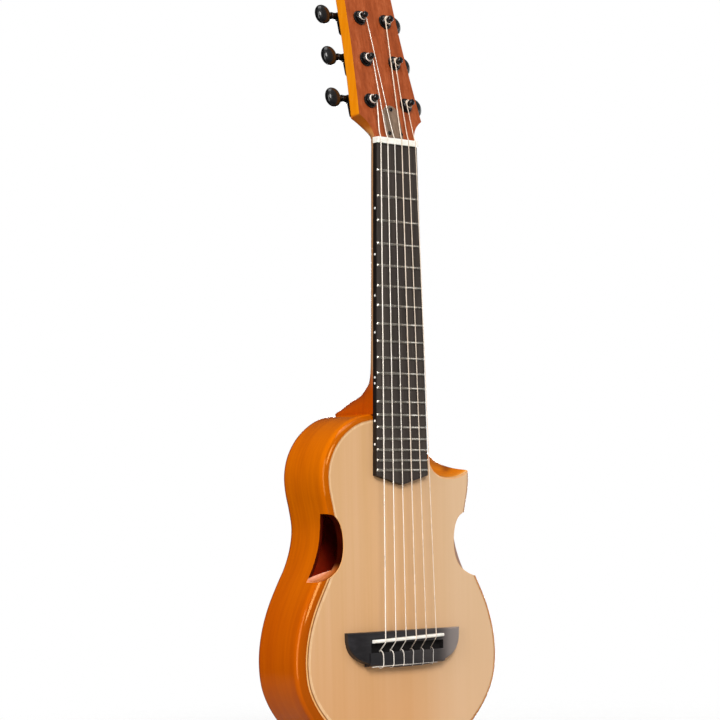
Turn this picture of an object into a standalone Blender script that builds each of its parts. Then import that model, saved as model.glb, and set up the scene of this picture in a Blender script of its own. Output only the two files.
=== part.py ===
"""Guitalele: a six-string nylon-strung small guitar with two sound ports in its waist.

Units in the tables below are millimetres in the instrument's own drawing frame:
x towards the treble side, y backwards from the fretboard's playing surface,
z along the neck with 0 at the front face of the nut and the body below it.
The finished model is shifted so that its origin is the point between the two
head wings where a wall hanger's yoke carries the instrument, and is in metres.
"""

import math

import bmesh
import bpy
from mathutils import Vector

MM = 0.001
HANG_Y, HANG_Z = 10.0, 14.0          # hanger point in the drawing frame

# ---- driving dimensions -------------------------------------------------
SCALE = 433.0                        # 17 in string length
FRET_COUNT = 19
NUT_HALF, BOARD_HALF = 24.0, 30.6    # half widths at the nut and at BOARD_END
BOARD_END, BOARD_TIP = -293.2, -301.5
BOARD_THICK = 5.0
GAP = 0.3                            # clearance between neighbours
TOP_Y = 5.3                          # playing side of the soundboard
TOP_THICK = 2.5
BODY_DEPTH = 55.0
BACK_THICK = 2.7
SIDE_THICK = 3.0
EDGE_R = 8.0                         # depth of the rounded front edge, and its width in the lower bout
EDGE_NARROW = 5.2                    # its width in the upper bout
EDGE_TREBLE = 0.46                   # share of those widths on the treble side
LINING_W = 12.0
EDGE_DEPTH = 8.0
PORT_FLOOR = 20.7                    # y to which the ports cut down the sides
HEAD_TILT = math.radians(14.0)
HEAD_THICK = 12.5
HEAD_LEN = 150.0
HEAD_Y, HEAD_Z = 3.0, 5.5            # where the head's face starts
POST_U = (34.5, 75.0, 115.5)
POST_X = (21.3, 17.0, 15.2)
POST_R = 3.0
WORM_U, WORM_N = 7.5, 17.25          # key axis above the post, and behind the face
STRING_D = (0.72, 0.82, 1.03, 0.76, 0.90, 1.10)
NUT_SPAN, SADDLE_SPAN = 20.8, 30.0   # half spans between the outer strings
SADDLE_Z, SADDLE_SLANT = -435.4, 0.03
SADDLE_HALF = 41.0

# body half outline, from the neck joint round to the tail: (half width, z)
OUTLINE = (
    (0, -238), (18, -238), (33, -239.6), (47.5, -243), (60, -249.5),
    (70.5, -258), (78.5, -268), (84, -279.5), (86.5, -293), (85.3, -307),
    (81.7, -322), (79, -338), (81, -354), (87.2, -371), (97, -388),
    (106, -405), (112.8, -423), (116.6, -441), (117.2, -458),
    (114.5, -475), (108, -489.5), (99.5, -501.5), (88, -513.5),
    (72, -526), (52, -535.5), (28, -541.2), (0, -543),
)
# scooped cutaway: its edge in the soundboard, and where its surface leaves the side at the back
CUT_FRONT = (
    (26.5, -230), (28, -250), (31, -265), (36, -279.5), (41, -288),
    (48, -293.2), (58, -295.4), (69, -294.8), (79, -292), (86, -288.2), (93, -283),
)
CUT_BACK = (
    (26.0, -229), (38, -236.5), (50, -242), (62, -249), (72.5, -257),
    (81, -266), (86, -273), (93, -284),
)
# sound port scooped into the waist, from above to below: (half width, z)
PORT = (
    (110, -325.4), (90, -325.6), (78, -326.6), (71.5, -331), (67.6, -338.5),
    (65.8, -348), (65.8, -357.5), (67.6, -366), (71.6, -373), (78.5, -378.8),
    (87, -382.6), (97, -384.6), (120, -386),
)


def fret_z(n):
    return -SCALE * (1.0 - 2.0 ** (-n / 12.0))


def board_half(z):
    return NUT_HALF + (BOARD_HALF - NUT_HALF) * z / BOARD_END


def V(x, y, z):
    return Vector((x * MM, (y - HANG_Y) * MM, (z - HANG_Z) * MM))


# ---- curves -------------------------------------------------------------
def spline(points, count):
    """count points at even steps along a centripetal Catmull-Rom curve."""
    p = [Vector((a, b, 0)) for a, b in points]
    p = [2 * p[0] - p[1]] + p + [2 * p[-1] - p[-2]]
    fine = []
    for i in range(1, len(p) - 2):
        k = [0.0]
        for j in range(3):
            k.append(k[-1] + max((p[i + j] - p[i + j - 1]).length, 1e-6) ** 0.5)
        for s in range(24):
            t = k[1] + (k[2] - k[1]) * s / 24
            a1 = ((k[1] - t) * p[i - 1] + (t - k[0]) * p[i]) / (k[1] - k[0])
            a2 = ((k[2] - t) * p[i] + (t - k[1]) * p[i + 1]) / (k[2] - k[1])
            a3 = ((k[3] - t) * p[i + 1] + (t - k[2]) * p[i + 2]) / (k[3] - k[2])
            b1 = ((k[2] - t) * a1 + (t - k[0]) * a2) / (k[2] - k[0])
            b2 = ((k[3] - t) * a2 + (t - k[1]) * a3) / (k[3] - k[1])
            fine.append(((k[2] - t) * b1 + (t - k[1]) * b2) / (k[2] - k[1]))
    fine.append(p[-2])
    run = [0.0]
    for a, b in zip(fine, fine[1:]):
        run.append(run[-1] + (b - a).length)
    out, j = [], 0
    for i in range(count):
        want = run[-1] * i / (count - 1)
        while j < len(run) - 2 and run[j + 1] < want:
            j += 1
        f = (want - run[j]) / max(run[j + 1] - run[j], 1e-9)
        q = fine[j].lerp(fine[j + 1], min(max(f, 0.0), 1.0))
        out.append((q.x, q.y))
    return out


def body_loop(half_count):
    """Closed outline, anticlockwise seen from the front: tail, treble side, neck, bass side."""
    half = spline(OUTLINE, half_count)
    right = half[::-1]
    left = [(-x, z) for x, z in half[1:-1]]
    return right + left


def inset(loop, d):
    """Closed loop moved inwards by d along its own normals."""
    out, n = [], len(loop)
    for i in range(n):
        a, b = Vector(loop[i - 1]), Vector(loop[(i + 1) % n])
        t = (b - a).normalized()
        out.append((loop[i][0] - t.y * d, loop[i][1] + t.x * d))
    return out


def edge_loop(loop, f=1.0):
    """The outline moved in by f times the rounded edge's width, which changes over across the waist and
    from the bass side to the treble side."""
    full = inset(loop, 1.0)
    out = []
    for (x, z), (xi, zi) in zip(loop, full):
        t = min(max((-322.0 - z) / 66.0, 0.0), 1.0)
        s = min(max((x + 40.0) / 100.0, 0.0), 1.0)
        share = 1.0 - (1.0 - EDGE_TREBLE) * s * s * (3 - 2 * s)
        d = f * share * (EDGE_NARROW + (EDGE_R - EDGE_NARROW) * t * t * (3 - 2 * t))
        out.append((x + (xi - x) * d, z + (zi - z) * d))
    return out


def shift_open(curve, d):
    """Open curve moved to its right-hand side by d."""
    out, n = [], len(curve)
    for i in range(n):
        a, b = Vector(curve[max(i - 1, 0)]), Vector(curve[min(i + 1, n - 1)])
        t = (b - a).normalized()
        out.append((curve[i][0] + t.y * d, curve[i][1] - t.x * d))
    return out


# ---- mesh helpers -------------------------------------------------------
def make(name, verts, faces, smooth=30):
    mesh = bpy.data.meshes.new(name)
    mesh.from_pydata([tuple(v) for v in verts], [], faces)
    bm = bmesh.new()
    bm.from_mesh(mesh)
    bmesh.ops.recalc_face_normals(bm, faces=bm.faces)
    bm.to_mesh(mesh)
    bm.free()
    obj = bpy.data.objects.new(name, mesh)
    bpy.context.scene.collection.objects.link(obj)
    finish(obj, smooth)
    return obj


def finish(obj, smooth=30):
    obj.data.shade_smooth()
    obj.data.set_sharp_from_angle(angle=math.radians(smooth))


def stack(name, rings, smooth=30):
    """Closed solid through rings of equal point count, with flat end caps. rings hold Vectors."""
    n = len(rings[0])
    verts = [v for ring in rings for v in ring]
    faces = []
    for k in range(len(rings) - 1):
        for i in range(n):
            j = (i + 1) % n
            faces.append((k * n + i, k * n + j, (k + 1) * n + j, (k + 1) * n + i))
    faces.append(tuple(range(n - 1, -1, -1)))
    faces.append(tuple(range((len(rings) - 1) * n, len(rings) * n)))
    obj = make(name, verts, faces, smooth=smooth)
    return obj


def prism(name, loop, y0, y1, smooth=30):
    """Plan loop of (x, z) run from y0 to y1."""
    return stack(name, [[V(x, y, z) for x, z in loop] for y in (y0, y1)], smooth)


def box(name, x0, x1, y0, y1, z0, z1):
    return prism(name, [(x0, z0), (x1, z0), (x1, z1), (x0, z1)], y0, y1)


def boolean(obj, other, operation="DIFFERENCE", keep=False):
    """Runs an exact Boolean and keeps its result as obj's mesh."""
    mod = obj.modifiers.new("cut", "BOOLEAN")
    mod.operation, mod.solver, mod.object = operation, "EXACT", other
    graph = bpy.context.evaluated_depsgraph_get()
    graph.update()
    mesh = bpy.data.meshes.new_from_object(obj.evaluated_get(graph))
    obj.modifiers.remove(mod)
    old = obj.data
    obj.data = mesh
    mesh.name = obj.name
    bpy.data.meshes.remove(old)
    if not keep:
        data = other.data
        bpy.data.objects.remove(other)
        bpy.data.meshes.remove(data)
    bm = bmesh.new()
    bm.from_mesh(mesh)
    bmesh.ops.remove_doubles(bm, verts=bm.verts, dist=2e-6)
    bmesh.ops.dissolve_degenerate(bm, edges=bm.edges, dist=2e-6)
    bm.to_mesh(mesh)
    bm.free()
    finish(obj)
    return obj


def joined(name, objects):
    """One helper object that holds several closed shapes, for a single cut."""
    bm = bmesh.new()
    for o in objects:
        o.data.transform(o.matrix_basis)
        bm.from_mesh(o.data)
    mesh = bpy.data.meshes.new(name)
    bm.to_mesh(mesh)
    bm.free()
    for o in objects:
        data = o.data
        bpy.data.objects.remove(o)
        bpy.data.meshes.remove(data)
    obj = bpy.data.objects.new(name, mesh)
    bpy.context.scene.collection.objects.link(obj)
    return obj


def circle(n, phase=0.0):
    return [(math.cos(2 * math.pi * i / n + phase), math.sin(2 * math.pi * i / n + phase)) for i in range(n)]


# ---- frames and materials -----------------------------------------------
def head_plane(n, u):
    """(y, z) at n behind the head's face and u up along it."""
    s, c = math.sin(HEAD_TILT), math.cos(HEAD_TILT)
    return HEAD_Y + n * c + u * s, HEAD_Z - n * s + u * c


def head_point(x, n, u):
    """Point at x across, n behind the head's face and u up along it."""
    return V(x, *head_plane(n, u))


def bar(name, stations, segments, axis, base, smooth=30, phase=0.0):
    """Solid of elliptical sections. stations are (along, radius a, radius b); axis 'n' runs along the
    head's normal and 'x' across it; base is (x, n, u) of the axis' zero."""
    rings = []
    for h, a, b in stations:
        ring = []
        for c, s in circle(segments, phase):
            if axis == "n":
                ring.append(head_point(base[0] + a * c, base[1] + h, base[2] + b * s))
            else:
                ring.append(head_point(base[0] + h, base[1] + b * s, base[2] + a * c))
        rings.append(ring)
    return stack(name, rings, smooth)


def set_origin(obj, point):
    """Moves the object's origin to the point, with its shape left where it is."""
    for v in obj.data.vertices:
        v.co -= point
    obj.location = point
    return obj


MATERIALS = {
    "mahogany": ((0.42, 0.115, 0.028), 0.28, 0.0),
    "amber_side": ((0.56, 0.17, 0.012), 0.22, 0.0),
    "spruce": ((0.78, 0.50, 0.27), 0.42, 0.0),
    "rosewood": ((0.055, 0.040, 0.034), 0.5, 0.0),
    "ebony": ((0.022, 0.021, 0.025), 0.38, 0.0),
    "bone": ((0.90, 0.87, 0.76), 0.35, 0.0),
    "fret_wire": ((0.75, 0.75, 0.74), 0.25, 1.0),
    "black_metal": ((0.012, 0.012, 0.013), 0.22, 0.8),
    "button": ((0.010, 0.010, 0.011), 0.2, 0.0),
    "nylon": ((0.85, 0.80, 0.70), 0.3, 0.0),
    "silver_wound": ((0.80, 0.78, 0.74), 0.3, 0.9),
    "inside_wood": ((0.35, 0.13, 0.05), 0.7, 0.0),
    "steel": ((0.45, 0.45, 0.46), 0.4, 1.0),
}


def paint(obj, key):
    material = bpy.data.materials.get(key)
    if material is None:
        material = bpy.data.materials.new(key)
        material.use_nodes = True
        shader = material.node_tree.nodes["Principled BSDF"]
        colour, rough, metal = MATERIALS[key]
        shader.inputs["Base Color"].default_value = (*colour, 1.0)
        shader.inputs["Roughness"].default_value = rough
        shader.inputs["Metallic"].default_value = metal
        material.diffuse_color = (*colour, 1.0)
    # each piece has a material of its own, so that one can be changed alone
    own = material.copy()
    own.name = obj.name + "_finish"
    obj.data.materials.clear()
    obj.data.materials.append(own)
    return obj


# ---- body ---------------------------------------------------------------
HALF_COUNT = 38
LOOP = body_loop(HALF_COUNT)


def cutaway(name, grow=0.0):
    """Everything outside the scooped cutaway's surface, taken grow further into the body."""
    count, levels = 19, 8
    front, back = spline(CUT_FRONT, count), spline(CUT_BACK, count)
    y_front, y_back = TOP_Y, TOP_Y + BODY_DEPTH
    rings = []
    for k in range(levels):
        y = -6.0 + (y_back + 5.0 + 6.0) * k / (levels - 1)
        # nearly upright behind the soundboard, sweeping back towards the back's edge
        f = max(0.0, (y - y_front) / (y_back - y_front)) ** 1.38
        curve = [(a[0] + (b[0] - a[0]) * f, a[1] + (b[1] - a[1]) * f) for a, b in zip(front, back)]
        if grow:
            curve = shift_open(curve, grow)
        first, last = curve[0], curve[-1]
        ring = curve + [(150, last[1]), (150, -195), (first[0], -195)]
        rings.append([V(x, y, z) for x, z in ring])
    return stack(name, rings)


def port(name, side, grow=0.0, count=21, floor=PORT_FLOOR):
    curve = spline(PORT, count)
    if grow:
        curve = shift_open(curve, grow)
    loop = curve + [(150, curve[-1][1]), (150, curve[0][1])]
    return prism(name, [(side * x, z) for x, z in loop], -6.0, floor)


def build_body():
    back_y = TOP_Y + BODY_DEPTH
    # sides
    rim = prism("rim", LOOP, TOP_Y + EDGE_DEPTH + GAP, back_y - BACK_THICK - GAP)
    boolean(rim, cutaway("c"))
    hollow = prism("h", inset(LOOP, SIDE_THICK), 0, back_y + 10)
    boolean(hollow, cutaway("c", SIDE_THICK))
    boolean(rim, hollow)
    for s in (-1, 1):
        boolean(rim, port("p", s))
    paint(rim, "amber_side")

    # rounded front edge with its lining, following the ports and the cutaway
    rings = []
    steps = 4
    for k in range(steps + 1):
        a = math.pi / 2 * k / steps
        y = TOP_Y + EDGE_R * (1 - math.cos(a))
        rings.append([V(x, y, z) for x, z in edge_loop(LOOP, 1 - math.sin(a))])
    edge = stack("top_edge", rings)
    boolean(edge, cutaway("c"))
    for s in (-1, 1):
        boolean(edge, port("p", s))
    boolean(edge, prism("s", inset(edge_loop(LOOP), -GAP), -5, TOP_Y + TOP_THICK + GAP))
    hollow = prism("h", inset(LOOP, LINING_W), -5, 30)
    boolean(hollow, cutaway("c", SIDE_THICK))
    for s in (-1, 1):
        boolean(hollow, port("p", s, SIDE_THICK, floor=40))
    boolean(edge, hollow)
    paint(edge, "amber_side")

    # soundboard, with the braces glued under it
    top = prism("soundboard", edge_loop(LOOP), TOP_Y, TOP_Y + TOP_THICK)
    boolean(top, cutaway("c"))
    for s in (-1, 1):
        boolean(top, port("p", s))
    under = TOP_Y + TOP_THICK
    for z, half in ((-312.0, 62.0), (-398.0, 80.0)):
        boolean(top, box("b", -half, half, under - 1, under + 9, z - 3, z + 3), "UNION")
    for x in (-34.0, 0.0, 34.0):
        boolean(top, box("b", x - 2.5, x + 2.5, under - 1, under + 5, -514 + abs(x) * 0.25, -467), "UNION")
    paint(top, "spruce")

    # back, with a small chamfer round its outer edge
    back = stack("back", [[V(x, y, z) for x, z in inset(LOOP, d)] for y, d in (
        (back_y - BACK_THICK, 0.0), (back_y - 1.6, 0.0), (back_y, 1.8))])
    paint(back, "mahogany")

    y0, y1 = TOP_Y + EDGE_DEPTH + 0.4, back_y - BACK_THICK - 0.4
    paint(box("neck_block", -24, 22.0, y0, y1, -263, -242.6), "inside_wood")
    paint(box("tail_block", -24, 24, y0, y1, -537.6, -524), "inside_wood")
    paint(box("bridge_plate", -58, 58, under + GAP, under + GAP + 2, -462, -424), "inside_wood")


# ---- neck and head ------------------------------------------------------
# (z at the board, z at the back, depth below the neck's flat, fullness of the section)
NECK = (
    (5.45, -1.5, 9.8, 2.3), (-4, -6.0, 11.4, 2.0), (-14, -15, 12.2, 1.95), (-80, -80, 12.4, 1.95),
    (-150, -150, 13.0, 1.95), (-185, -185, 13.8, 1.95), (-200, -200, 14.8, 1.95), (-209, -209, 17.2, 2.0),
    (-213, -213, 20.6, 2.0), (-216, -216, 24.6, 2.1), (-219.5, -219.5, 30.2, 2.1), (-222.4, -222.4, 36.2, 2.1),
    (-225, -225, 44.8, 2.1), (-227.5, -227.5, 53.3, 2.2), (-230, -230, 54.8, 2.7),
    (-234, -234, 54.9, 4.8), (-237.7, -237.7, 54.9, 14.0),
)
# head: (distance up the face, half width, fullness of the section)
HEAD = (
    (3.5, 24.3, 2.8), (6.0, 25.0, 3.4), (9.5, 26.4, 5.0), (13.5, 29.0, 9.0), (17.5, 33.0, 16.0),
    (20.6, 37.2, 26.0), (32.0, 35.9, 26.0), (46.0, 34.5, 26.0), (68.0, 32.6, 26.0), (88.0, 31.0, 26.0),
    (106.0, 30.0, 26.0), (126.0, 29.0, 26.0), (143.0, 28.4, 26.0), (146.6, 26.0, 26.0),
    (148.6, 18.0, 26.0), (149.7, 9.0, 26.0), (HEAD_LEN, 2.0, 26.0),
)


def build_neck():
    segments = 16

    def section(half, m, front, back):
        """One ring between a front point and a back point (y, z), rounded by the fullness m."""
        ring = []
        for i in range(segments + 1):
            a = math.pi * i / segments
            c, s = round(math.cos(a), 12), round(math.sin(a), 12)    # exact zeros at the ends and the middle
            x, f = -half * math.copysign(abs(c) ** (2 / m), c), abs(s) ** (2 / m)
            ring.append(V(x, front[0] + (back[0] - front[0]) * f, front[1] + (back[1] - front[1]) * f))
        return ring

    rings = []
    for z, z_back, depth, m in NECK[::-1]:
        rings.append(section(board_half(min(z, 0.0)) - 0.1, m, (TOP_Y, z), (TOP_Y + depth, z_back)))
    rings.append(section(24.0, 2.4, head_plane(0, 0.25), (15.1, -0.4)))
    for u, half, m in HEAD:
        rings.append(section(half, m, head_plane(0, u), head_plane(HEAD_THICK, u)))
    neck = stack("neck", rings)
    # truss rod channel, and the pocket for its adjusting nut under the cover
    boolean(neck, box("c", -2.8, 2.8, -1, 13.8, -229, 7))
    boolean(neck, box("c", -4.4, 4.4, -8, 14.6, 5.9, 23))
    holes = []
    for u, x in zip(POST_U, POST_X):
        for s in (-1, 1):
            holes.append(bar("h", [(-6, 5, 5), (30, 5, 5)], 14, "n", (s * x, 0, u)))
    for x, u in COVER_SCREWS:
        holes.append(bar("h", [(-6, 1.25, 1.25), (8.4, 1.25, 1.25)], 8, "n", (x, 0, u)))
    boolean(neck, joined("holes", holes))
    paint(neck, "mahogany")

    rod = box("truss_rod", -2.4, 2.4, 5.8, 12.8, -228, 8)
    nut = stack("n", [[V(3.6 * c, 9.6 + 3.6 * s, z) for c, s in circle(6)] for z in (7.0, 15.0)])
    boolean(rod, nut, "UNION")
    paint(rod, "steel")


COVER_SCREWS = ((0.0, 27.6), (-6.9, 4.4), (6.9, 4.4))


def build_cover():
    half = 9.2
    outline = [(half, 0.6), (half, 20.0)]
    for i in range(1, 12):
        a = math.pi * i / 12
        outline.append((half * math.cos(a), 20.0 + 11.8 * math.sin(a) ** 0.8))
    outline += [(-half, 20.0), (-half, 0.6)]
    rings = []
    for n, d in ((-GAP, 0.0), (-1.5, 0.0), (-2.1, 0.6)):
        rings.append([head_point(x * (1 - d / half), n, u + (d if u < 1 else -d * u / 31.8)) for x, u in outline])
    cover = stack("truss_rod_cover", rings)
    holes = [bar("h", [(-6, 1.3, 1.3), (6, 1.3, 1.3)], 8, "n", (x, 0, u)) for x, u in COVER_SCREWS]
    boolean(cover, joined("holes", holes))
    paint(cover, "rosewood")
    for i, (x, u) in enumerate(COVER_SCREWS):
        screw = bar(f"cover_screw_{i + 1}", [(-3.3, 1.0, 1.0), (-3.0, 1.7, 1.7), (-2.4, 1.9, 1.9),
                                           (-2.4, 0.95, 0.95), (6.6, 0.9, 0.9), (8.0, 0.3, 0.3)], 10, "n", (x, 0, u))
        paint(screw, "black_metal")


def build_board():
    outline = [(board_half(-GAP), -GAP), (BOARD_HALF, BOARD_END), (0, BOARD_TIP), (-BOARD_HALF, BOARD_END),
               (-board_half(-GAP), -GAP)]
    board = prism("fretboard", outline, 0.0, BOARD_THICK)
    slots = []
    for n in range(1, FRET_COUNT + 1):
        z = fret_z(n)
        slots.append(box("s", -40, 40, -2, 2.4, z - 0.55, z + 0.55))
    boolean(board, joined("slots", slots))
    paint(board, "rosewood")
    for n in range(1, FRET_COUNT + 1):
        z = fret_z(n)
        profile = ((-0.25, 2.0), (-0.25, -0.3), (-1.25, -0.3), (-1.1, -0.75), (-0.55, -1.15), (0, -1.28),
                   (0.55, -1.15), (1.1, -0.75), (1.25, -0.3), (0.25, -0.3), (0.25, 2.0))
        half = board_half(z) - 0.5
        rings = []
        for s in (-1, 1):
            ring = []
            for dz, y in profile:
                lean = 0.7 * max(0.0, -y - 0.3)
                ring.append(V(s * (half - lean), y, z + dz))
            rings.append(ring)
        paint(stack(f"fret_{n:02d}", rings), "fret_wire")


def nut_x(i):
    return NUT_SPAN * (1 - 2 * i / 5)


def saddle_x(i):
    return SADDLE_SPAN * (1 - 2 * i / 5)


def saddle_z(x):
    return SADDLE_Z + SADDLE_SLANT * x


def build_nut():
    half, top = NUT_HALF + 0.2, -2.0
    outline = [(half, 5.0), (half, top + 0.5), (half - 0.5, top)]
    for i in range(6):
        w = STRING_D[i] / 2 + 0.32
        outline += [(nut_x(i) + w, top), (nut_x(i) + w, -1.12), (nut_x(i) - w, -1.12), (nut_x(i) - w, top)]
    outline += [(-half + 0.5, top), (-half, top + 0.5), (-half, 5.0)]
    nut = stack("nut", [[V(x, y, z) for x, y in outline] for z in (0.0, 5.4)])
    paint(nut, "bone")


# ---- bridge -------------------------------------------------------------
BRIDGE_HALF, BRIDGE_TOP_Z, BRIDGE_DROP = 65.8, -428.5, 31.5
BRIDGE_H, TIE_H = 7.8, 8.5


def bridge_low(x):
    f = min(abs(x) / BRIDGE_HALF, 1.0)
    return BRIDGE_TOP_Z - 1.5 - (BRIDGE_DROP - 1.5) * (1 - f ** 2.8) ** (1 / 2.8)


def bridge_height(x):
    f = max(0.0, (abs(x) - 46.0) / (BRIDGE_HALF - 46.0))
    return BRIDGE_H - 3.9 * f ** 1.8


def build_bridge():
    base = TOP_Y - GAP
    xs = [BRIDGE_HALF * math.sin(math.pi / 2 * k / 11) for k in range(-11, 12)]
    rings = []
    for x in xs:
        zt, zl, h = BRIDGE_TOP_Z, bridge_low(x), bridge_height(x)
        d = min(1.2, (zt - zl) * 0.2)
        rings.append([V(x, base, zt), V(x, base - h * 0.55, zt), V(x, base - h, zt - d), V(x, base - h, zl + d),
                      V(x, base - h * 0.5, zl), V(x, base, zl)])
    bridge = stack("bridge", rings)
    tie = [(y, z) for y, z in ((base - 0.3, -458.6), (base - 5.0, -458.2), (base - TIE_H + 0.8, -457.2),
                               (base - TIE_H, -456.2), (base - TIE_H, -446.8), (base - TIE_H + 0.6, -446.2),
                               (base - 0.3, -446.2))]
    boolean(bridge, stack("t", [[V(x, y, z) for y, z in tie] for x in (-44.0, 44.0)]), "UNION")
    boolean(bridge, box("t", -42.5, 42.5, -12, base - 2.8, -446.2, -438.6))
    t = 1.75
    slot = [(-SADDLE_HALF - 0.4, saddle_z(-SADDLE_HALF) - t), (SADDLE_HALF + 0.4, saddle_z(SADDLE_HALF) - t),
            (SADDLE_HALF + 0.4, saddle_z(SADDLE_HALF) + t), (-SADDLE_HALF - 0.4, saddle_z(-SADDLE_HALF) + t)]
    boolean(bridge, prism("s", slot, -12, base - 2.8))
    holes = []
    for i in range(6):
        x, r = saddle_x(i), STRING_D[i] / 2 + 0.45
        holes.append(stack("h", [[V(x + r * c, 0.6 + r * s, z) for c, s in circle(8)] for z in (-470, -442)]))
    boolean(bridge, joined("holes", holes))
    paint(bridge, "ebony")

    t = 1.35
    rings = []
    for s in (-1, 1):
        ring = []
        for dz, y in ((-t, 1.9), (-t, -6.2), (-0.6, -6.9), (0.6, -6.9), (t, -6.2), (t, 1.9)):
            ring.append(V(s * SADDLE_HALF, y + 0.9 * (y < 0), saddle_z(s * SADDLE_HALF) + dz))
        rings.append(ring)
    middle = [V(0, y, saddle_z(0) + dz) for dz, y in
              ((-t, 1.9), (-t, -6.2), (-0.6, -6.9), (0.6, -6.9), (t, -6.2), (t, 1.9))]
    outer = [[V(s * 31, y + 0.1 * (y < 0), saddle_z(s * 31) + dz) for dz, y in
              ((-t, 1.9), (-t, -6.2), (-0.6, -6.9), (0.6, -6.9), (t, -6.2), (t, 1.9))] for s in (-1, 1)]
    paint(stack("saddle", [rings[0], outer[0], middle, outer[1], rings[1]]), "bone")


# ---- tuners -------------------------------------------------------------
def tuner_place(i):
    """(side, post x, post u) of string i, counted from the treble side."""
    side = 1 if i < 3 else -1
    row = i if i < 3 else 5 - i
    return side, side * POST_X[row], POST_U[row]


COLLAR_END = 18.2
BUTTON_AT = 27.2


def build_tuner(i):
    side, x, u = tuner_place(i)
    n0 = HEAD_THICK + GAP
    # housing: case behind the head, threaded barrel and nut in front, and the sleeve of the key
    case = []
    for n, d in ((n0, 1.2), (n0 + 1.2, 0.0), (n0 + 8.2, 0.0), (n0 + 9.8, 1.6)):
        ring = []
        for cx, cu in ((-1, -1), (1, -1), (1, 1), (-1, 1)):
            for k in range(2):
                a = math.atan2(cu, cx) + (k - 0.5) * math.pi / 3.4
                ring.append((cx * 5.0 + (3.2 - d) * math.cos(a), 1.9 + cu * 7.6 + (3.2 - d) * math.sin(a)))
        case.append([head_point(x + px, n, u + pu) for px, pu in ring])
    housing = stack(f"tuner_housing_{i + 1}", case)
    barrel = bar("b", [(-4.2, 4.2, 4.2), (-3.8, 4.6, 4.6), (n0 + 1, 4.6, 4.6)], 12, "n", (x, 0, u))
    boolean(housing, barrel, "UNION")
    boolean(housing, bar("w", [(-1.5, 6.4, 6.4), (-1.2, 6.8, 6.8), (-GAP, 6.8, 6.8)], 14, "n", (x, 0, u)), "UNION")
    boolean(housing, bar("n", [(-3.6, 5.0, 5.0), (-3.2, 5.6, 5.6), (-1.1, 5.6, 5.6)], 6, "n", (x, 0, u)), "UNION")
    sleeve = bar("s", [(side * h, r, r) for h, r in ((6.5, 4.2), (10.5, 4.0), (COLLAR_END - 0.5, 2.9), (COLLAR_END, 2.7))],
                 10, "x", (x, WORM_N, u + WORM_U))
    boolean(housing, sleeve, "UNION")
    boolean(housing, bar("g", [(-8, 3.35, 3.35), (n0 + 1.6, 3.35, 3.35), (n0 + 1.6, 5.35, 5.35),
                               (n0 + 6.6, 5.35, 5.35)], 12, "n", (x, 0, u)))
    boolean(housing, bar("g", [(side * h, r, r) for h, r in ((-6.6, 2.6), (6.4, 2.6), (6.4, 1.75), (30, 1.75))],
                         10, "x", (x, WORM_N, u + WORM_U)))
    paint(housing, "black_metal")

    post = bar(f"tuner_post_{i + 1}", [(-10.6, 2.2, 2.2), (-10.2, 2.8, 2.8), (-8.6, POST_R, POST_R),
                                      (-7.0, 2.55, 2.55), (-5.6, 2.55, 2.55), (-4.6, POST_R, POST_R),
                                      (n0 + 2.0, POST_R, POST_R), (n0 + 2.0, 4.9, 4.9), (n0 + 6.0, 4.9, 4.9)],
               12, "n", (x, 0, u))
    set_origin(post, head_point(x, 0, u))
    paint(post, "black_metal")

    b = BUTTON_AT
    stations = [(-5.9, 2.2, 2.2), (-3.4, 2.2, 2.2), (-2.6, 1.7, 1.7), (-0.8, 2.2, 2.2), (0.8, 1.7, 1.7), (2.6, 2.2, 2.2),
                (5.9, 2.2, 2.2), (5.9, 1.45, 1.45), (COLLAR_END + 0.4, 1.45, 1.45), (COLLAR_END + 0.4, 2.4, 2.4), (COLLAR_END + 1.6, 2.5, 2.3)]
    for k in range(1, 7):
        a = math.pi * k / 7
        stations.append((b - 7.2 * math.cos(a), 8.2 * math.sin(a) ** 0.85, 4.5 * math.sin(a) ** 0.8))
    stations.append((b + 7.2, 1.2, 0.8))
    key = bar(f"tuner_key_{i + 1}", [(side * h, ra, rb) for h, ra, rb in stations], 12, "x", (x, WORM_N, u + WORM_U))
    set_origin(key, head_point(x, WORM_N, u + WORM_U))
    paint(key, "button")


# ---- strings ------------------------------------------------------------
def string_route(i):
    """Centre line of string i from its tie to the post's winding."""
    side, px, pu = tuner_place(i)
    xs, xn, r = saddle_x(i), nut_x(i), STRING_D[i] / 2
    zs = saddle_z(xs)
    inner = px - side * (POST_R + r + 0.45)
    reach = head_point(inner, -5.6, pu - 1.0)
    over = -7.05 - r
    route = [V(xs, 0.6, -459.4), V(xs, 0.6, -446.5), V(xs, 0.2, -445.4), V(xs, over, zs - 1.0)]
    low, high = V(xs, over, zs + 1.2), V(xn, -1.12 - 0.32 - r, 0.0)
    for k in range(3):
        route.append(low.lerp(high, k / 3))
    route += [high, V(xn, -1.12 - 0.32 - r, 5.2)]
    start = V(xn, -1.12 - 0.32 - r + 0.12, 6.2)
    route += [start, start.lerp(reach, 0.5), reach]
    return route


def tube(name, route, radius, sides=6):
    """Closed tube of even radius with mitred joints."""
    rings, n = [], len(route)
    side = Vector((1, 0, 0))
    for i, p in enumerate(route):
        before = (p - route[i - 1]).normalized() if i else None
        after = (route[i + 1] - p).normalized() if i < n - 1 else None
        along = (before + after).normalized() if before and after else (before or after)
        u = (side - side.dot(along) * along).normalized()
        w = along.cross(u)
        stretch = 1.0 / max(0.5, along.dot(before) if before else 1.0)
        rings.append([p + radius * MM * (c * u + s * stretch * w) for c, s in circle(sides, math.pi / sides)])
    return stack(name, rings)


def main():
    for obj in list(bpy.data.objects):
        bpy.data.objects.remove(obj)
    build_body()
    build_neck()
    build_cover()
    build_board()
    build_nut()
    build_bridge()
    for i in range(6):
        build_tuner(i)
        string = tube(f"string_{i + 1}", string_route(i), STRING_D[i] / 2)
        paint(string, "nylon" if i < 3 else "silver_wound")


main()
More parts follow.
